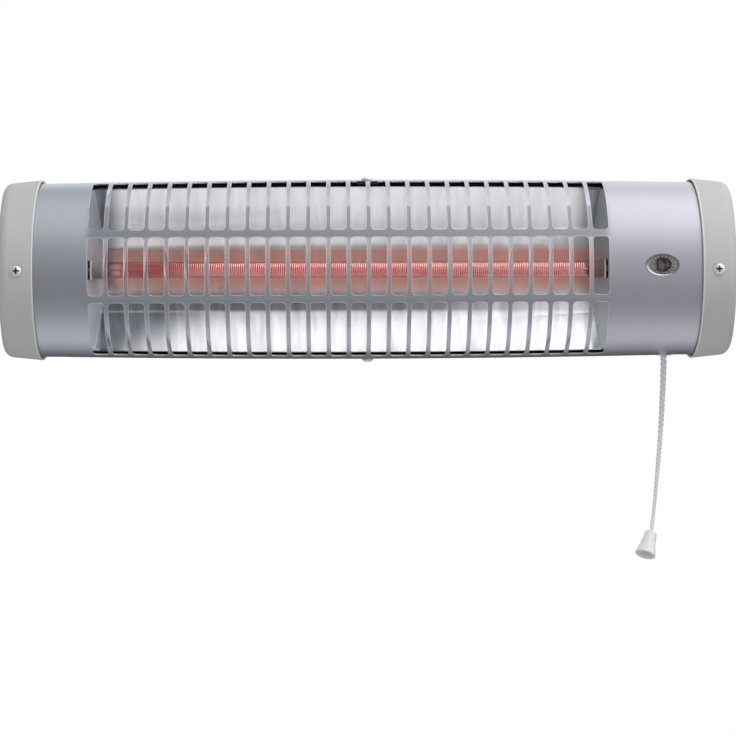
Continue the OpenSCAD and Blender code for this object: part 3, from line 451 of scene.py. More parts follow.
def bowed(node, name, finish, crease=None, cuts=()):
    """A CAD node's sheet with the bow, in the node's place, cut across at places along X.
    Its shading is that of the roll, or breaks at edges over the crease in degrees."""
    form = bmesh.new()
    form.from_mesh(cad[node].data)
    bmesh.ops.remove_doubles(form, verts=form.verts, dist=0.001 * mm)
    for at in cuts:
        bmesh.ops.bisect_plane(form, geom=[*form.verts, *form.edges, *form.faces], dist=0.01 * mm,
                               plane_co=(at, 0, 0), plane_no=(1, 0, 0))
    mesh = bpy.data.meshes.new(name)
    form.to_mesh(mesh)
    form.free()
    if crease:
        mesh.set_sharp_from_angle(angle=math.radians(crease))
    else:
        round_shading(mesh)
    bow(mesh)
    made = placed(mesh, finish, "housing")
    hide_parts(node)
    return made


paint = Finish("silver_paint")
paint_x, _, paint_z = paint.parts(paint.place)
flake = paint.cells(paint.place, 3000)
mist = paint.noise(paint.place, 9, 3)
peel = paint.noise(paint.place, 420, 2)
# The bars in a band above the middle row of slots, and less in a band below it, are painted
# darker as painted shade, and the paint in front of the tube is painted pink as a painted glow of
# the coil.
in_grille = 1 - abs(paint_x - grille_x).step(grille_half - 4 * mm, grille_half + 4 * mm)
upper_band = 1 - abs(paint_z - axis_z - 36 * mm).step(10.5 * mm, 13 * mm)
lower_band = 1 - abs(paint_z - axis_z + 33 * mm).step(9 * mm, 12 * mm)
glow_band = 1 - abs(paint_z - axis_z - 2 * mm).step(13 * mm, 19 * mm)
shaded_bars = in_grille * (upper_band * 0.74 + lower_band * 0.2)
painted = paint.mix(mist * 0.5 + flake * 0.5, (0.465, 0.485, 0.53), (0.545, 0.56, 0.61))
painted = paint.mix(shaded_bars, painted, (0.22, 0.23, 0.25))
paint.surface(
    Base_Color=paint.mix(in_grille * glow_band, painted, (0.66, 0.51, 0.53)),
    Metallic=0.9, Roughness=0.33 + flake * 0.1, Normal=paint.bump(peel, 0.00003),
    Coat_Weight=0.15, Coat_Roughness=0.25)

sheet_cuts = np.linspace(-1, 1, 17) * bow_reach
bowed("casing", "bowed_casing", paint, cuts=sheet_cuts)


# The pressed rims of the slots. Each slot's edge is rolled outwards by the punch, and its
# bead is painted lighter than the casing, a painted highlight, so that a fine bright line runs
# round the slot.
def grown(name, growth, inputs, body):
    """Runs a Geometry Nodes tree and keeps its result as a plain mesh."""
    made = linked(name, bpy.data.meshes.new(name))
    modifier = made.modifiers.new(name, "NODES")
    modifier.node_group = growth.tree
    for key, value in inputs.items():
        modifier[growth.keys[key]] = value
    result = made.evaluated_get(bpy.context.evaluated_depsgraph_get())
    made.data = bpy.data.meshes.new_from_object(result)
    made.modifiers.remove(modifier)
    made.data.name = name
    finish = made.data.materials[-1]
    made.data.materials.clear()
    made.data.materials.append(finish)
    made.data.polygons.foreach_set("material_index", [0] * len(made.data.polygons))
    return carried(made, body)


class Growth(Tree):
    """A Geometry Nodes tree with named inputs for its sizes, each given with its kind."""
    def __init__(self, name, **kinds):
        group = bpy.data.node_groups.new(name, "GeometryNodeTree")
        super().__init__(group)
        group.interface.new_socket("Geometry", in_out="OUTPUT", socket_type="NodeSocketGeometry")
        types = {float: "NodeSocketFloat", int: "NodeSocketInt", tuple: "NodeSocketVector"}
        self.keys = {}
        for key, kind in kinds.items():
            socket = group.interface.new_socket(key, in_out="INPUT", socket_type=types[kind])
            self.keys[key] = socket.identifier
        self.inputs = group.nodes.new("NodeGroupInput")

    def __getitem__(self, name):
        return Value(self, self.inputs.outputs[name])

    def end(self, geometry, finish):
        """Realizes the instances, sets the finish and ends the tree."""
        real = self.node("GeometryNodeRealizeInstances", sockets={0: geometry})
        smooth = self.node("GeometryNodeSetShadeSmooth", sockets={0: real})
        painted = self.node("GeometryNodeSetMaterial", sockets={
            0: smooth, "Material": finish.material})
        self.node("NodeGroupOutput", sockets={0: painted})


rim_highlight_metal = mottled("slot_rim", 300, 2, (0.60, 0.61, 0.64), (0.74, 0.74, 0.77), (0.30, 0.45),
                    Metallic=0.6)

slots = Growth("slot_rims", width=float, length=float, corner=float, bead=float, pitch=float,
               count=int, radius=float, turn=tuple, place=tuple)
outline = slots.node("GeometryNodeCurvePrimitiveQuadrilateral", sockets={
    0: slots["width"], 1: slots["length"]})
outline = slots.node("GeometryNodeFilletCurve", {"mode": "POLY"}, {
    "Curve": outline, "Radius": slots["corner"], "Count": 6})
outline = slots.node("GeometryNodeResampleCurve", sockets={"Curve": outline, "Count": 92})
x, y, z = slots.parts(slots.node("GeometryNodeInputPosition"))
depth = (slots["radius"] * slots["radius"] - y * y).math("SQRT")
outline = slots.node("GeometryNodeSetPosition", sockets={
    0: outline, "Position": slots.vector(x, y, depth)})
bead = slots.node("GeometryNodeCurvePrimitiveCircle", sockets={
    "Resolution": 6, "Radius": slots["bead"]})
rim = slots.node("GeometryNodeCurveToMesh", sockets={"Curve": outline, "Profile Curve": bead})
first = slots.vector(slots["pitch"] * (slots["count"] - 1) * -0.5)
spots = slots.node("GeometryNodeMeshLine", sockets={
    "Count": slots["count"], "Start Location": first, "Offset": slots.vector(slots["pitch"])})
row = slots.node("GeometryNodeInstanceOnPoints", sockets={"Points": spots, "Instance": rim})
row = slots.node("GeometryNodeTransform", sockets={
    "Geometry": row, "Translation": slots["place"], "Rotation": slots["turn"]})
slots.end(row, rim_highlight_metal)

slot_w, slot_corner, slot_pitch, slot_count = 12.15 * mm, 2.8 * mm, 15.13 * mm, 26
# Each row: the angle of its middle over the level, half of its own angle, and the bead in mm.
slot_rows = {"middle": (2.5, 19.1, 0.24), "upper": (52.1, 25.8, 0.15), "lower": (-47.1, 25.8, 0.19)}
for name, (angle, half_angle, bead_r) in slot_rows.items():
    rims = grown(f"slot_rims_{name}", slots, {
        "width": slot_w, "length": 2 * casing_r * math.sin(math.radians(half_angle)),
        "corner": slot_corner, "bead": bead_r * mm, "pitch": slot_pitch, "count": slot_count,
        "radius": casing_r, "turn": (math.radians(90 - angle), 0.0, 0.0),
        "place": (grille_x, axis_y, axis_z)}, "housing")
    bow(rims.data)


# The end caps. Each is moulded in a warm light grey plastic with a fine matt texture. A
# slim lip runs round its open rim, and a dark rubber seal fills the gap to the casing.
def dress(finish, *nodes):
    """Gives CAD nodes their finish."""
    for name in nodes:
        for slot in cad[name].material_slots:
            slot.material = finish.material


cap_plastic = Finish("cap_plastic")
texture = cap_plastic.noise(cap_plastic.place, 1800, 2)
cloud = cap_plastic.noise(cap_plastic.place, 22, 3)
cap_plastic.surface(
    Base_Color=cap_plastic.mix(cloud * 0.7 + texture * 0.3, (0.46, 0.46, 0.465),
                               (0.53, 0.525, 0.525)),
    Roughness=0.5 + texture * 0.12, Normal=cap_plastic.bump(texture, 0.00006),
    Specular_IOR_Level=0.4)
dress(cap_plastic, "end_cap_left", "end_cap_right")

rubber = mottled("dark_rubber", 160, 3, (0.022, 0.022, 0.024), (0.045, 0.044, 0.044),
                 (0.65, 0.80), 0.00005)
dress(rubber, "cap_seal_left", "cap_seal_right", "cable_gland")

cap_rim_x, cap_rim_r, cap_back_y = 251 * mm, 69.6 * mm, 20.241 * mm
lip_r, lip_line_r = 0.85 * mm, cap_rim_r - 0.7 * mm
lip_half = math.acos(-(cap_back_y - 1.2 * mm) / cap_rim_r)
lip_turns = np.linspace(-lip_half, lip_half, 140)
# The lip is painted lighter than the cap, a painted highlight along the rim.
lip_highlight_plastic = mottled("cap_lip_plastic", 500, 2, (0.60, 0.59, 0.55), (0.70, 0.69, 0.65),
                      (0.35, 0.45))
for side, name in ((-1, "left"), (1, "right")):
    lip = [Vector((side * cap_rim_x, axis_y - lip_line_r * math.cos(t),
                   axis_z + lip_line_r * math.sin(t))) for t in lip_turns]
    piece(f"cap_lip_{name}", *tube(lip, [lip_r] * len(lip), 10),
          lip_highlight_plastic, "housing", "cap_plastic")


# The reflector. Rolled aluminium sheet is folded into a trough, polished, and slightly wavy
# from one end to the other. Behind the tube it is painted salmon as a painted reflection of the
# coil's glow. Below the tube, at both ends and along the fold above the tube it is painted dark
# as painted shade.
sheet = Finish("reflector_sheet")
sheet_x, sheet_y, sheet_z = sheet.parts(sheet.place)
above = sheet_z - axis_z
waves = sheet.noise(sheet.vector(sheet_x, sheet_y * 0.3, sheet_z * 0.3), 46, 2)
streaks = sheet.noise(sheet.vector(sheet_x * 0.2, sheet_y * 6, sheet_z * 6), 240, 3)
# Each mask of painted glow or painted shade is a product of edges. An edge goes from nothing to
# full between two places.
painted_glow = (1 - above.step(13.5 * mm, 18 * mm)) * above.step(-27 * mm, -7 * mm)
painted_glow = painted_glow * sheet_x.step(-206 * mm, -190 * mm)
painted_glow = painted_glow * (0.8 + sheet.noise(sheet.vector(sheet_x), 60, 2) * 0.4)
strip = (1 - above.step(-21 * mm, -15 * mm)) * above.step(-34 * mm, -30.5 * mm)
strip = strip * (1 - sheet_x.step(20 * mm, 150 * mm) * 0.85) * 0.8
left_low = 1 - (sheet_x - above * 1.5).step(-118 * mm, -42 * mm)
left_low = left_low * (1 - above.step(-34 * mm, -30 * mm))
left_low = left_low * (0.35 + sheet_x.step(-207 * mm, -204 * mm) * 0.6)
left_high = (1 - sheet_x.step(-202 * mm, -185 * mm)) * above.step(-20 * mm, -10 * mm) * (
    0.6 + sheet_x.step(-207 * mm, -204 * mm) * 0.25)
right = (sheet_x + above.math("MINIMUM", 0) * 0.43).step(157 * mm, 171 * mm) * 0.75
right = right.math("MAXIMUM", sheet_x.step(128 * mm, 168 * mm) * above.step(8 * mm, 14 * mm) * (
    1 - above.step(26 * mm, 30 * mm)) * 0.6)
fold = above.step(12 * mm, 15 * mm) * (1 - above.step(17 * mm, 21 * mm)) * 0.3
painted_shade = strip
for shade_mask in (left_low, left_high, right, fold):
    painted_shade = painted_shade.math("MAXIMUM", shade_mask)
polish = sheet.mix(streaks, (0.90, 0.90, 0.93), (0.96, 0.96, 0.98))
sheet.surface(
    Base_Color=sheet.mix(painted_glow, sheet.mix(painted_shade, polish, (0.15, 0.165, 0.185)),
                                (0.87, 0.51, 0.43)),
    Metallic=1.0, Roughness=0.17 + streaks * 0.1 + painted_glow * 0.16,
    Normal=sheet.bump(waves, 0.0012))
bowed_reflector = bowed("reflector", "bowed_reflector", sheet,
                        crease=20, cuts=sheet_cuts)

end_sheet = Finish("reflector_end_sheet")
roll_marks = end_sheet.noise(end_sheet.place, 90, 3)
# The end sheets are painted lighter in their lower part and darker above, as painted light.
sheet_low = 1 - end_sheet.parts(end_sheet.place)[2].step(axis_z - 40 * mm, axis_z + 10 * mm)
end_high = end_sheet.mix(roll_marks, (0.42, 0.47, 0.51), (0.56, 0.61, 0.64))
end_low = end_sheet.mix(roll_marks, (0.60, 0.66, 0.70), (0.74, 0.79, 0.83))
end_sheet.surface(
    Base_Color=end_sheet.mix(sheet_low, end_high, end_low),
    Metallic=0.5, Roughness=0.42 + roll_marks * 0.14)
dress(end_sheet, "reflector_end_left", "reflector_end_right")

# A thin collar of the same sheet closes each end sheet's opening round the tube's bracket.
# The opening and the bracket's cut are each a front, a back and half a height in mm.
opening, bracket_cut = (-34.9, -13.1, 8.95), (-31.4, -20.5, 7.35)
sheet_lean, lean_y, collar_faces = 18 / 66, -0.35, (0.05, 0.5)
tube_collars = []
for name, side, foot_x in (("left", 1, -204.25), ("right", -1, 174.75)):
    points = []
    for behind in collar_faces:
        for front, back, half in (opening, bracket_cut):
            for y, z in ((front, -half), (back, -half), (back, half), (front, half)):
                x = foot_x + side * (sheet_lean * (y - lean_y) - behind)
                points.append((x * mm, axis_y + y * mm, axis_z + z * mm))
    faces = []
    for k in range(4):
        n = (k + 1) % 4
        for a, b in ((0, 4), (4, 12), (12, 8), (8, 0)):
            faces.append((a + k, b + k, b + n, a + n)[::-side])
    tube_collars.append(piece(f"tube_collar_{name}", points, faces,
                              end_sheet, "housing", "reflector_sheet", flat=True))


# The quartz tube. It is clear and open at its ends, where ceramic plugs close it and carry
# the terminal pins. A long coil of resistance wire glows red inside.
tube_y = axis_y - 24 * mm
glass_left, glass_right = -201.10 * mm, 171.60 * mm
coil_left, coil_right = -188.10 * mm, 166.10 * mm

quartz = Finish("clear_quartz")
glass_x, glass_y, glass_z = quartz.parts(quartz.place)
draw = quartz.noise(quartz.vector(glass_x * 0.1, glass_y, glass_z), 300, 2)
# The glass is painted dark red where it is seen side-on, a painted shade along the tube's edges.
side_on = quartz.node("ShaderNodeLayerWeight", sockets={"Blend": 0.5}, out="Facing")
tube_edge_shade = side_on.step(0.42, 0.68)
milky = 1 - glass_x.step(-165 * mm, -125 * mm)
glass_tint = quartz.mix(draw, (1, 0.94, 0.93), (1, 0.97, 0.96))
quartz.surface(
    Base_Color=quartz.mix(tube_edge_shade, glass_tint, (0.30, 0.025, 0.035)),
    Roughness=0.02 + draw * 0.04 + milky * 0.3, Transmission_Weight=1.0, IOR=1.2)
dress(quartz, "quartz_tube")

hot_wire = Finish("hot_wire")
along, deep, height = hot_wire.parts(hot_wire.place)
patch = hot_wire.noise(hot_wire.vector(along), 55, 2)
warm_end = along.step(coil_left + 20 * mm, coil_left + 75 * mm)
cold_end = 1 - along.step(coil_left, coil_left + 16 * mm)
front = 1 - deep.step(tube_y - 2 * mm, tube_y + 0.5 * mm)
crown_highlight = height.step(axis_z + 0.5 * mm, axis_z + 3.6 * mm) * front * warm_end
# The glow: dark red at the cold end; dark red at the back and brighter in front as painted
# shade, and pink on the crown as a painted highlight.
dark_glow = (0.17, 0.008, 0.016)
glow = hot_wire.mix(patch.step(0.3, 0.7), (0.26, 0.05, 0.055), (0.40, 0.11, 0.11))
glow = hot_wire.mix(front, dark_glow, glow)
glow = hot_wire.mix(crown_highlight, glow, (0.62, 0.33, 0.30))
glow = hot_wire.mix(warm_end, dark_glow, glow)
# The wire's own colour is also lighter in front and darker at the back, as painted shade.
wire_metal = hot_wire.mix(front, (0.30, 0.08, 0.08), (0.55, 0.40, 0.38))
hot_wire.surface(
    Base_Color=hot_wire.mix(warm_end, (0.16, 0.03, 0.03), wire_metal),
    Roughness=0.3, Metallic=0.4,
    Emission_Color=hot_wire.mix(cold_end, glow, (0.13, 0.035, 0.025)), Emission_Strength=1.0)

coil = Growth("coil", turns=float, length=float, radius=float, wire=float, start=tuple)
spiral = coil.node("GeometryNodeCurveSpiral", sockets={
    "Resolution": 16, "Rotations": coil["turns"], "Start Radius": coil["radius"],
    "End Radius": coil["radius"], "Height": coil["length"]})
gauge = coil.node("GeometryNodeCurvePrimitiveCircle", sockets={
    "Resolution": 7, "Radius": coil["wire"]})
wound = coil.node("GeometryNodeCurveToMesh", sockets={
    "Curve": spiral, "Profile Curve": gauge, "Fill Caps": True})
wound = coil.node("GeometryNodeTransform", sockets={
    "Geometry": wound, "Rotation": (0.0, math.pi / 2, 0.0), "Translation": coil["start"]})
x, y, z = coil.parts(coil.node("GeometryNodeInputPosition"))
sway = coil.noise(coil.vector(x), 45, 2) - 0.5
wound = coil.node("GeometryNodeSetPosition", sockets={
    "Geometry": wound, "Offset": coil.vector(sway * (2.6 * mm), 0.0, sway * (0.1 * mm))})
coil.end(wound, hot_wire)
coil_turns, coil_r, coil_wire_r, lead_r = 221.0, 4.5 * mm, 0.43 * mm, 0.6 * mm
wound_coil = grown("wound_coil", coil, {
    "turns": coil_turns, "length": coil_right - coil_left, "radius": coil_r, "wire": coil_wire_r,
    "start": (coil_left, tube_y, axis_z)}, "housing")
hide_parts("heating_coil")

# The coil's straight leads. The last third of each bends forward to meet the first turn.
for name, start, end in (("left", glass_left, coil_left), ("right", glass_right, coil_right)):
    lead = [Vector((start + (end - start) * t, tube_y - 4.3 * mm * max(0, 3 * t - 2) ** 2, axis_z))
            for t in np.linspace(0, 1, 24)]
    piece(f"coil_lead_{name}", *tube(lead, [lead_r] * len(lead), 10),
          hot_wire, "housing", "glowing_wire")

ceramic = Finish("plug_ceramic")
speck = ceramic.noise(ceramic.place, 1200, 3)
soot = ceramic.noise(ceramic.place, 130, 2)
toward_hot = ceramic.parts(ceramic.place)[0].step(0, 50 * mm)
grime = soot * 0.6 + speck * 0.4
ceramic.surface(
    Base_Color=ceramic.mix(toward_hot, ceramic.mix(grime, (0.15, 0.15, 0.14), (0.34, 0.33, 0.30)),
                           ceramic.mix(grime, (0.20, 0.11, 0.09), (0.40, 0.24, 0.21))),
    Roughness=0.75, Normal=ceramic.bump(speck, 0.0001))
dress(ceramic, "tube_plug_left", "tube_plug_right")


# The small steel fittings: turned and cold-headed screws, nuts, pins and rivets, bright
# plated. The clips for the tube and the middle screws have a duller, satin plating.
plated = mottled("bright_plate", 500, 4, (0.62, 0.62, 0.62), (0.82, 0.82, 0.81),
                 (0.18, 0.34), 0.00002, Metallic=1.0)
dress(plated, "pivot_bolts", "wing_nuts", "tilt_bracket_rivets", "back_plate_screws",
      "tube_bracket_rivets", "terminal_pin_left", "terminal_pin_right", "terminal_nuts",
      "drum_axle", "switch_cover_screws", "switch_screws", "clamp_screws", "block_screw")

satin_plate = mottled("satin_plate", 700, 3, (0.80, 0.80, 0.79), (0.92, 0.92, 0.91),
                      (0.34, 0.48), 0.00002, Metallic=0.55)
dress(satin_plate, "tube_bracket_left", "tube_bracket_right")

# The caps' screws. Their cross recess is in shadow, so it is drawn dark.
cross_screw = Finish("cross_screw")
cap_screw_x, cross_width, cross_length = 262 * mm, (0.5 * mm, 0.75 * mm), (2.1 * mm, 2.5 * mm)
screw_x, _, screw_z = cross_screw.parts(cross_screw.place)
to_side, to_top = abs(abs(screw_x) - cap_screw_x), abs(screw_z - axis_z)
upright = (1 - to_side.step(*cross_width)) * (1 - to_top.step(*cross_length))
level = (1 - to_top.step(*cross_width)) * (1 - to_side.step(*cross_length))
cross = upright.math("MAXIMUM", level)
tool_marks = cross_screw.noise(cross_screw.place, 700, 3)
head = cross_screw.mix(tool_marks, (0.74, 0.74, 0.73), (0.88, 0.88, 0.87))
cross_screw.surface(
    Base_Color=cross_screw.mix(cross, head, (0.04, 0.04, 0.04)),
    Metallic=0.65, Roughness=0.38 + tool_marks * 0.12)
dress(cross_screw, "cap_screws")

bowed("casing_screws", "middle_screws", satin_plate, crease=30)


# The terminals, the earth stud and its nuts, turned from bare brass that has tarnished.
# They carry the current, so they aren't plated.
brass = mottled("plain_brass", 260, 4, (0.55, 0.36, 0.12), (0.78, 0.56, 0.24), (0.24, 0.44),
                Metallic=1.0)
dress(brass, "switch_terminals", "terminal_screws", "earth_stud", "earth_nuts")


# The back plate and the end plates, pressed from galvanised sheet that shows its spangle.
# They are screwed to the casing's flanges and edges.
zinc = Finish("zinc_sheet")
spangle = zinc.cells(zinc.place, 320)
zinc.surface(
    Base_Color=zinc.mix(spangle, (0.31, 0.325, 0.34), (0.45, 0.465, 0.48)),
    Metallic=0.8, Roughness=0.34 + spangle * 0.16)
dress(zinc, "back_plate", "end_plate_left", "end_plate_right")


# The reflector's stays: folded strips of blacked steel under the middle screws, which hold
# the reflector's lips. They follow the casing's bow.
black_steel = mottled("black_steel", 300, 3, (0.016, 0.016, 0.017), (0.035, 0.034, 0.034),
                      (0.50, 0.65), Metallic=0.6)
bowed("reflector_stays", "bowed_stays", black_steel, crease=30)


# The wall bracket and the tilt bracket, folded from thick sheet and painted light grey.
# Two bolts with washers and wing nuts join them.
bracket_paint = mottled("bracket_paint", 380, 3, (0.50, 0.50, 0.495), (0.57, 0.57, 0.56),
                        (0.38, 0.48), 0.00008)
dress(bracket_paint, "wall_bracket", "tilt_bracket")


# The indicator window. A shiny grey ring is pressed into an oval hole, with a rounded rim
# outside and rings of small cut facets inside it. A clear oval pane closes its middle.
window_x, window_z = 220 * mm, 33.0225 * mm
ring_half_w, ring_half_h = 12.7 * mm, 8.5 * mm
lens_back_y = axis_y - 61.5 * mm
ring_plastic = Finish("ring_plastic")
smear = ring_plastic.noise(ring_plastic.place, 500, 2)
on_ring = ring_plastic.node("ShaderNodeMapping", {"vector_type": "TEXTURE"}, {
    "Vector": ring_plastic.place, "Location": (window_x, 0, window_z),
    "Scale": (ring_half_w, 1e6, ring_half_h)})
from_middle = ring_plastic.node("ShaderNodeVectorMath", {"operation": "LENGTH"},
                                {0: on_ring}, "Value")
outer = from_middle.step(0.84, 0.88)
# The rounded rim is painted light at its lower left, a painted highlight, and dark round the rest,
# a painted shade.
ring_x, _, ring_z = ring_plastic.parts(ring_plastic.place)
to_left = (ring_x - window_x) * -0.5 / ring_half_w
to_top = (ring_z - window_z) * 0.85 / ring_half_h
lit_lower_left = (to_left - to_top).step(0.2, 0.9)
facets = ring_plastic.mix(smear, (0.30, 0.305, 0.30), (0.46, 0.465, 0.46))
rim_highlight_and_shade = ring_plastic.mix(lit_lower_left, (0.20, 0.20, 0.205), (0.78, 0.78, 0.80))
ring_plastic.surface(
    Base_Color=ring_plastic.mix(outer, facets, rim_highlight_and_shade),
    Metallic=0.6 - outer * 0.3, Roughness=0.12 + smear * 0.1 + outer * 0.1)
pane_clear = mottled("pane_clear", 700, 2, (0.88, 0.88, 0.89), (0.96, 0.96, 0.97),
                     (0.01, 0.03), Transmission_Weight=1.0, IOR=1.15)

# Half width, half height and how far each line stands out of the casing's curve; None is
# the ring's back edge.
ring_profile = [
    (6.7, 5.5, None), (10.9, 6.7, None), (10.9, 6.7, -0.4), (12.7, 8.5, 0.06), (12.7, 8.5, 0.7),
    (12.5, 8.3, 1.05), (12.1, 7.9, 1.1), (11.6, 7.4, 0.7), (11.0, 6.85, 0.0), (10.2, 6.7, -0.1),
    (9.4, 6.5, 0.6), (8.6, 6.2, 0.1), (7.8, 6.0, 0.7), (7.1, 5.7, 0.2), (6.7, 5.5, 0.2),
    (6.7, 5.5, None)]
pane_profile = [(6.6, 5.4, -1.8), (6.6, 5.4, -0.1), (6.4, 5.2, 0.1)]
facet_rings = {10, 11, 12, 13}
facet_cut = 0.3 * mm
ring_sides = 72


def oval(profile, capped):
    """An oval form in the window's place, from a profile of half widths and half heights."""
    points = []
    for ring, (half_w, half_h, out) in enumerate(profile):
        for k in range(ring_sides):
            turn = 2 * math.pi * k / ring_sides
            at_x, at_z = half_w * mm * math.cos(turn), half_h * mm * math.sin(turn)
            height = window_z - axis_z + (0 if capped else at_z)
            front = lens_back_y if out is None else (
                axis_y - math.sqrt(casing_r ** 2 - height ** 2) - out * mm)
            if not capped and ring in facet_rings:
                front += facet_cut if (k // 2 + ring) % 2 else -facet_cut
            points.append((window_x + at_x, front, window_z + at_z))
    return points, skin(len(profile), ring_sides, capped)


window_ring = piece("window_ring", *oval(ring_profile, False),
                    ring_plastic, "housing", "clear_plastic", flat=True)
piece("window_pane", *oval(pane_profile, True),
      pane_clear, "housing", "clear_plastic", flat=True)
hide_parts("window_lens")


# The indicator drum, in dark plastic. It turns one step at each pull and carries plain
# figures in dull red, 0 and 1 by turns.
drum_plastic = mottled("drum_plastic", 1500, 2, (0.21, 0.21, 0.205), (0.30, 0.30, 0.29),
                       (0.42, 0.54))
dress(drum_plastic, "indicator_drum")

figure_red = Finish("figure_red")
ink = figure_red.noise(figure_red.place, 2500, 2)
figure_red.surface(Base_Color=figure_red.mix(ink, (0.20, 0.004, 0.014), (0.29, 0.007, 0.020)),
                   Roughness=0.5)

drum_y, drum_r, figure_x, figure_count = -93.641 * mm, 8.5 * mm, 222.9 * mm, 6
# The figures' edges in mm, flat: the 1 has a left and a right edge, the 0 an outer and an inner.
one_left = [(-0.7, 2.9), (-0.9, 2.5), (-1.3, 2.1), (-2.0, 1.6), (-2.0, 1.0), (-1.3, 1.3),
            (-0.8, 1.5), *((-0.8, 1.5 - 0.4 * k) for k in range(1, 12))]
one_right = [(1.2, 2.9 - 5.8 * k / (len(one_left) - 1)) for k in range(len(one_left))]
round_turns = [2 * math.pi * k / 48 for k in range(48)]
zero_outer, zero_inner = ([(w * math.sin(a), h * math.cos(a)) for a in round_turns]
                          for w, h in ((2.3, 2.9), (0.8, 1.4)))


def printed(edges, turn, closed):
    """A thick printed line between two edges, bent round the drum."""
    points, sunk, proud = [], -0.05, 0.12
    for pair in zip(*edges):
        for (x, y), out in zip((*pair, *reversed(pair)), (sunk, sunk, proud, proud)):
            at, reach = y * mm / drum_r + turn, drum_r + out * mm
            points.append((figure_x + x * mm, drum_y - reach * math.cos(at),
                           window_z + reach * math.sin(at)))
    count = len(edges[0])
    faces = []
    for i in range(count if closed else count - 1):
        for k in range(4):
            a, b, step = 4 * i + k, 4 * i + (k + 1) % 4, 4 * ((i + 1) % count) - 4 * i
            faces.append((a, a + step, b + step, b))
    if not closed:
        faces += [(0, 1, 2, 3), (4 * count - 1, 4 * count - 2, 4 * count - 3, 4 * count - 4)]
    return points, faces


figures = []
for step in range(figure_count):
    edges = (zero_outer, zero_inner) if step % 2 else (one_right, one_left)
    figures.append(printed(edges, 2 * math.pi * step / figure_count, closed=step % 2))
piece("drum_figures", *together(figures), figure_red, "drum", "drum_plastic", flat=True)


# The switch and the small mouldings: a hard ivory thermoset for the switch, white nylon for
# the lever, the grommet, the clamp, the washers and the terminal block.
ivory = mottled("ivory_moulding", 80, 4, (0.66, 0.63, 0.54), (0.76, 0.73, 0.65), (0.25, 0.35))
dress(ivory, "switch_body", "switch_cover")

nylon = mottled("white_nylon", 300, 3, (0.74, 0.74, 0.73), (0.82, 0.82, 0.81), (0.38, 0.50))
dress(nylon, "pivot_washers", "pull_lever", "cord_grommet", "cable_clamp", "terminal_block")


# The lever's return spring, wound from drawn steel wire and closed at both ends. It stands
# on the switch's floor round the cord, under the lever, which squashes it.
drawn_wire = mottled("drawn_wire", 900, 2, (0.40, 0.40, 0.41), (0.56, 0.56, 0.57), (0.25, 0.40),
                     Metallic=1.0)
spring_low, spring_high, spring_r, spring_wire = 21.5 * mm, 47.35 * mm, 4.05 * mm, 0.9 * mm
spring_turns = 8
spring_line = []
for k in range(spring_turns * 20 + 1):
    turns = k / 20
    rise = min(1, max(0, (turns - 1) / (spring_turns - 2)))
    height = (spring_low + spring_wire * min(turns, 1)
              + (spring_high - spring_low - 2 * spring_wire) * rise
              + spring_wire * max(0, turns - spring_turns + 1))
    spring_line.append(Vector((cord_exit.x + spring_r * math.cos(2 * math.pi * turns),
                               axis_y + spring_r * math.sin(2 * math.pi * turns), height)))
spring = piece("return_spring", *tube(spring_line, [spring_wire / 2] * len(spring_line), 10),
               drawn_wire, "housing", "spring_steel")
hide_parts("lever_spring")
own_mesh(spring)


# The wires inside. Each is a silicone-covered lead with a crimped sleeve at both ends, held
# by a terminal screw or nut.
wire_r, crimp_r = 1.1 * mm, 1.35 * mm
# Each wire: its slot, its two colours, and its route in mm from the casing's axis.
wire_routes = {
    "live": ("wire_brown", (0.075, 0.03, 0.012), (0.12, 0.05, 0.02), [
        (218, 10.841, 46.067), (218, 10.841, 49.017), (214, 0, 48.017), (203, -8, 29.017),
        (201.5, -10, 18), (207, -10, 14), (209.4, -10, 14)]),
    "switched": ("wire_white", (0.62, 0.61, 0.56), (0.72, 0.71, 0.66), [
        (209.4, -10, 4), (207, -10, 4), (203.5, -15, 3), (202.5, -20, 1), (195.3, -24, 0),
        (192.9, -24, 0)]),
    "neutral": ("wire_blue", (0.012, 0.04, 0.20), (0.02, 0.065, 0.30), [
        (206, 10.841, 46.067), (206, 10.841, 49.017), (198, 3.341, 54.967), (173.25, 3.341, 54.967),
        (0, 3.341, 54.967), (-212.75, 3.341, 54.967), (-232.75, -1.659, 43.967),
        (-236.75, -14, 25.98), (-236.75, -19, 6), (-224.8, -24, 0), (-222.4, -24, 0)]),
    "earth": ("wire_green", (0.03, 0.16, 0.03), (0.05, 0.23, 0.05), [
        (194, 10.841, 46.067), (194, 10.841, 48.517), (187, 10.241, 50.517), (183, 9.741, 46.017),
        (183, 9.241, 26.017), (182, 9.241, 0.01), (182, 11.241, -17), (185, 11.741, -24),
        (187.8, 11.741, -24)]),
}
for name, (slot, low, high, route) in wire_routes.items():
    line = [Vector((x * mm, axis_y + y * mm, axis_z + z * mm)) for x, y, z in route]
    line = [line[0], *smooth_path(line[1:-1], 2 * mm), line[-1]]
    silicone = mottled(f"{name}_insulation", 700, 2, low, high, (0.42, 0.52))
    lead = piece(f"lead_{name}", *tube(line, [wire_r] * len(line), 12), silicone, "housing", slot)
    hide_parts(f"wire_{name}")
    for end, place, toward in (("start", line[0], line[1]), ("end", line[-1], line[-2])):
        way = (toward - place).normalized()
        sleeve = [place + way * t * mm for t in (0.0, 0.3, 2.0, 2.3)]
        piece(f"crimp_{name}_{end}", *tube(sleeve, [wire_r, crimp_r, crimp_r, wire_r], 12),
              plated, "housing", "bright_steel")


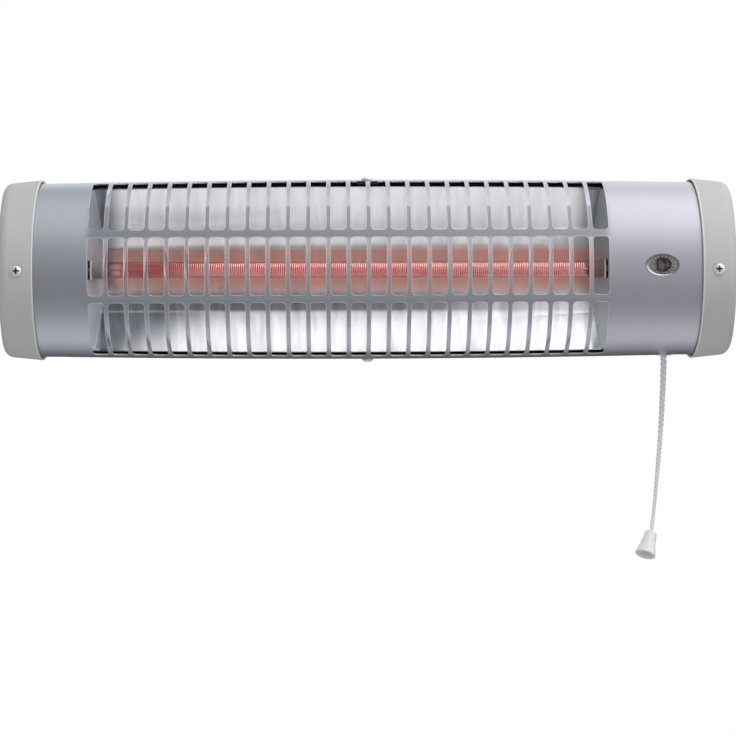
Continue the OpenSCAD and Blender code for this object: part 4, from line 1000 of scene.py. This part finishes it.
# The studio. The walls are a pale world: white to the camera, softly graded for the metal,
# which shows a bright ceiling, paler to the right, and a darker band at the camera's height.
world = bpy.data.worlds.new("studio")
bpy.context.scene.world = world
world.use_nodes = True
studio = Tree(world.node_tree)
studio.tree.nodes.clear()
camera_ray, glossy_ray, clear_ray = (
    studio.node("ShaderNodeLightPath", out=f"Is {kind} Ray")
    for kind in ("Camera", "Glossy", "Transmission"))
way_x, way_y, way_z = studio.parts(studio.node("ShaderNodeTexCoord", out="Generated"))
lift = studio.math("ARCTAN2", way_z, way_y * -1) / (2 * math.pi) + 0.5
# Each stop: the height in degrees, over the front to the back, and how bright it is there.
grades = [
    (-180, 0.02), (-155, 0.02), (-138, 0.10), (-124, 0.46), (-108, 0.86), (-92, 0.88), (-78, 0.72),
    (-64, 0.50), (-52, 0.39), (-35, 0.33), (-15, 0.36), (8, 0.44), (22, 0.52), (34, 0.62),
    (46, 0.84), (60, 1.06), (100, 1.20), (124, 0.74), (136, 0.85), (152, 1.25), (180, 0.7)]
lilac, cool = (0.985, 0.98, 1.03), (0.985, 1.0, 1.02)
graded = studio.node("ShaderNodeValToRGB", {"stops": [
    (height / 360 + 0.5, tuple(level * c for c in (lilac if height < -40 else cool)))
    for height, level in grades]}, {0: lift})
to_right = way_x.math("MINIMUM", 0.5).math("MAXIMUM", -0.5)
slope = to_right * 2.4 * lift.step(0.33, 0.48) * (1 - lift.step(0.84, 0.94)) + 1
slope = slope.math("MAXIMUM", 0.45)
paler = studio.vector(slope * (to_right * 0.3 + 1), slope, slope * (to_right * 0.1 + 1))
boosted = studio.node("ShaderNodeMix", {"data_type": "RGBA", "blend_type": "MULTIPLY"},
                      {0: 1.0, 6: graded, 7: paler}, out=2)
seen = studio.mix(camera_ray.math("MAXIMUM", clear_ray),
                  studio.mix(glossy_ray, (0.50, 0.51, 0.52), boosted), (1, 1, 1))
studio.node("ShaderNodeOutputWorld", sockets={
    0: studio.node("ShaderNodeBackground", sockets={"Color": seen, "Strength": 1.0})})


def softbox(name, place, target, size, power, only=None):
    """An area lamp that faces a point. It lights everything, or only some pieces."""
    lamp = bpy.data.lights.new(name, "AREA")
    lamp.shape, lamp.size, lamp.size_y = "RECTANGLE", *size
    lamp.energy = power
    made = linked(name, lamp)
    made.location = place
    made.rotation_euler = (Vector(target) - Vector(place)).to_track_quat("-Z", "Y").to_euler()
    made.visible_camera = False
    made.visible_glossy = only is not None
    if only:
        lit = bpy.data.collections.new(name)
        for one in only:
            lit.objects.link(one)
        made.light_linking.receiver_collection = lit


# The trough is far brighter than the casing in front of it, so three lamps light it alone.
trough = [bowed_reflector, *tube_collars, *(cad[name] for name in (
    "reflector_end_left", "reflector_end_right", "tube_bracket_left", "tube_bracket_right"))]
softbox("ceiling_box", (0.7, -0.9, 1.7), (0, 0, 0.03), (1.6, 1.0), 24)
softbox("front_fill", (-0.6, -2.4, 0.6), (0, 0, 0), (1.4, 1.4), 6)
softbox("trough_low", (0, -0.82, -0.89), (0, -0.05, 0.03), (2.5, 0.7), 3.3, trough)
softbox("trough_high", (0, -0.82, 0.95), (0, -0.05, 0.03), (2.5, 0.7), 2.9, trough)
softbox("trough_level", (0, -1.17, -0.40), (0, -0.05, 0.03), (2.5, 0.35), 1.5, trough)

# The floor. It is pale and matt, far below the heater, and takes its soft shadow.
floor_white = Finish("studio_floor")
to_camera = floor_white.node("ShaderNodeLightPath", out="Is Camera Ray")
grit = floor_white.noise(floor_white.place, 3, 2)
floor_look = floor_white.node("ShaderNodeBsdfPrincipled", sockets={
    "Base Color": floor_white.mix(grit, (0.86, 0.86, 0.87), (0.90, 0.90, 0.91)), "Roughness": 0.9})
floor_light = floor_white.node("ShaderNodeEmission", sockets={"Color": (1, 1, 1), "Strength": 1.0})
floor_mixed = floor_white.node("ShaderNodeMixShader", sockets={
    0: to_camera * 0.85, 1: floor_look, 2: floor_light})
floor_white.node("ShaderNodeOutputMaterial", sockets={0: floor_mixed})
floor_points = [(x, y, -1.4) for x, y in ((-4, -4), (4, -4), (4, 4.5), (-4, 4.5))]
floor_mesh = bpy.data.meshes.new("studio_floor")
floor_mesh.from_pydata(floor_points, [], [(0, 1, 2, 3)])
floor_mesh.materials.append(floor_white.material)
studio_floor = linked("studio_floor", floor_mesh)
studio_floor.visible_glossy = False

bpy.context.scene.view_settings.view_transform = "Standard"
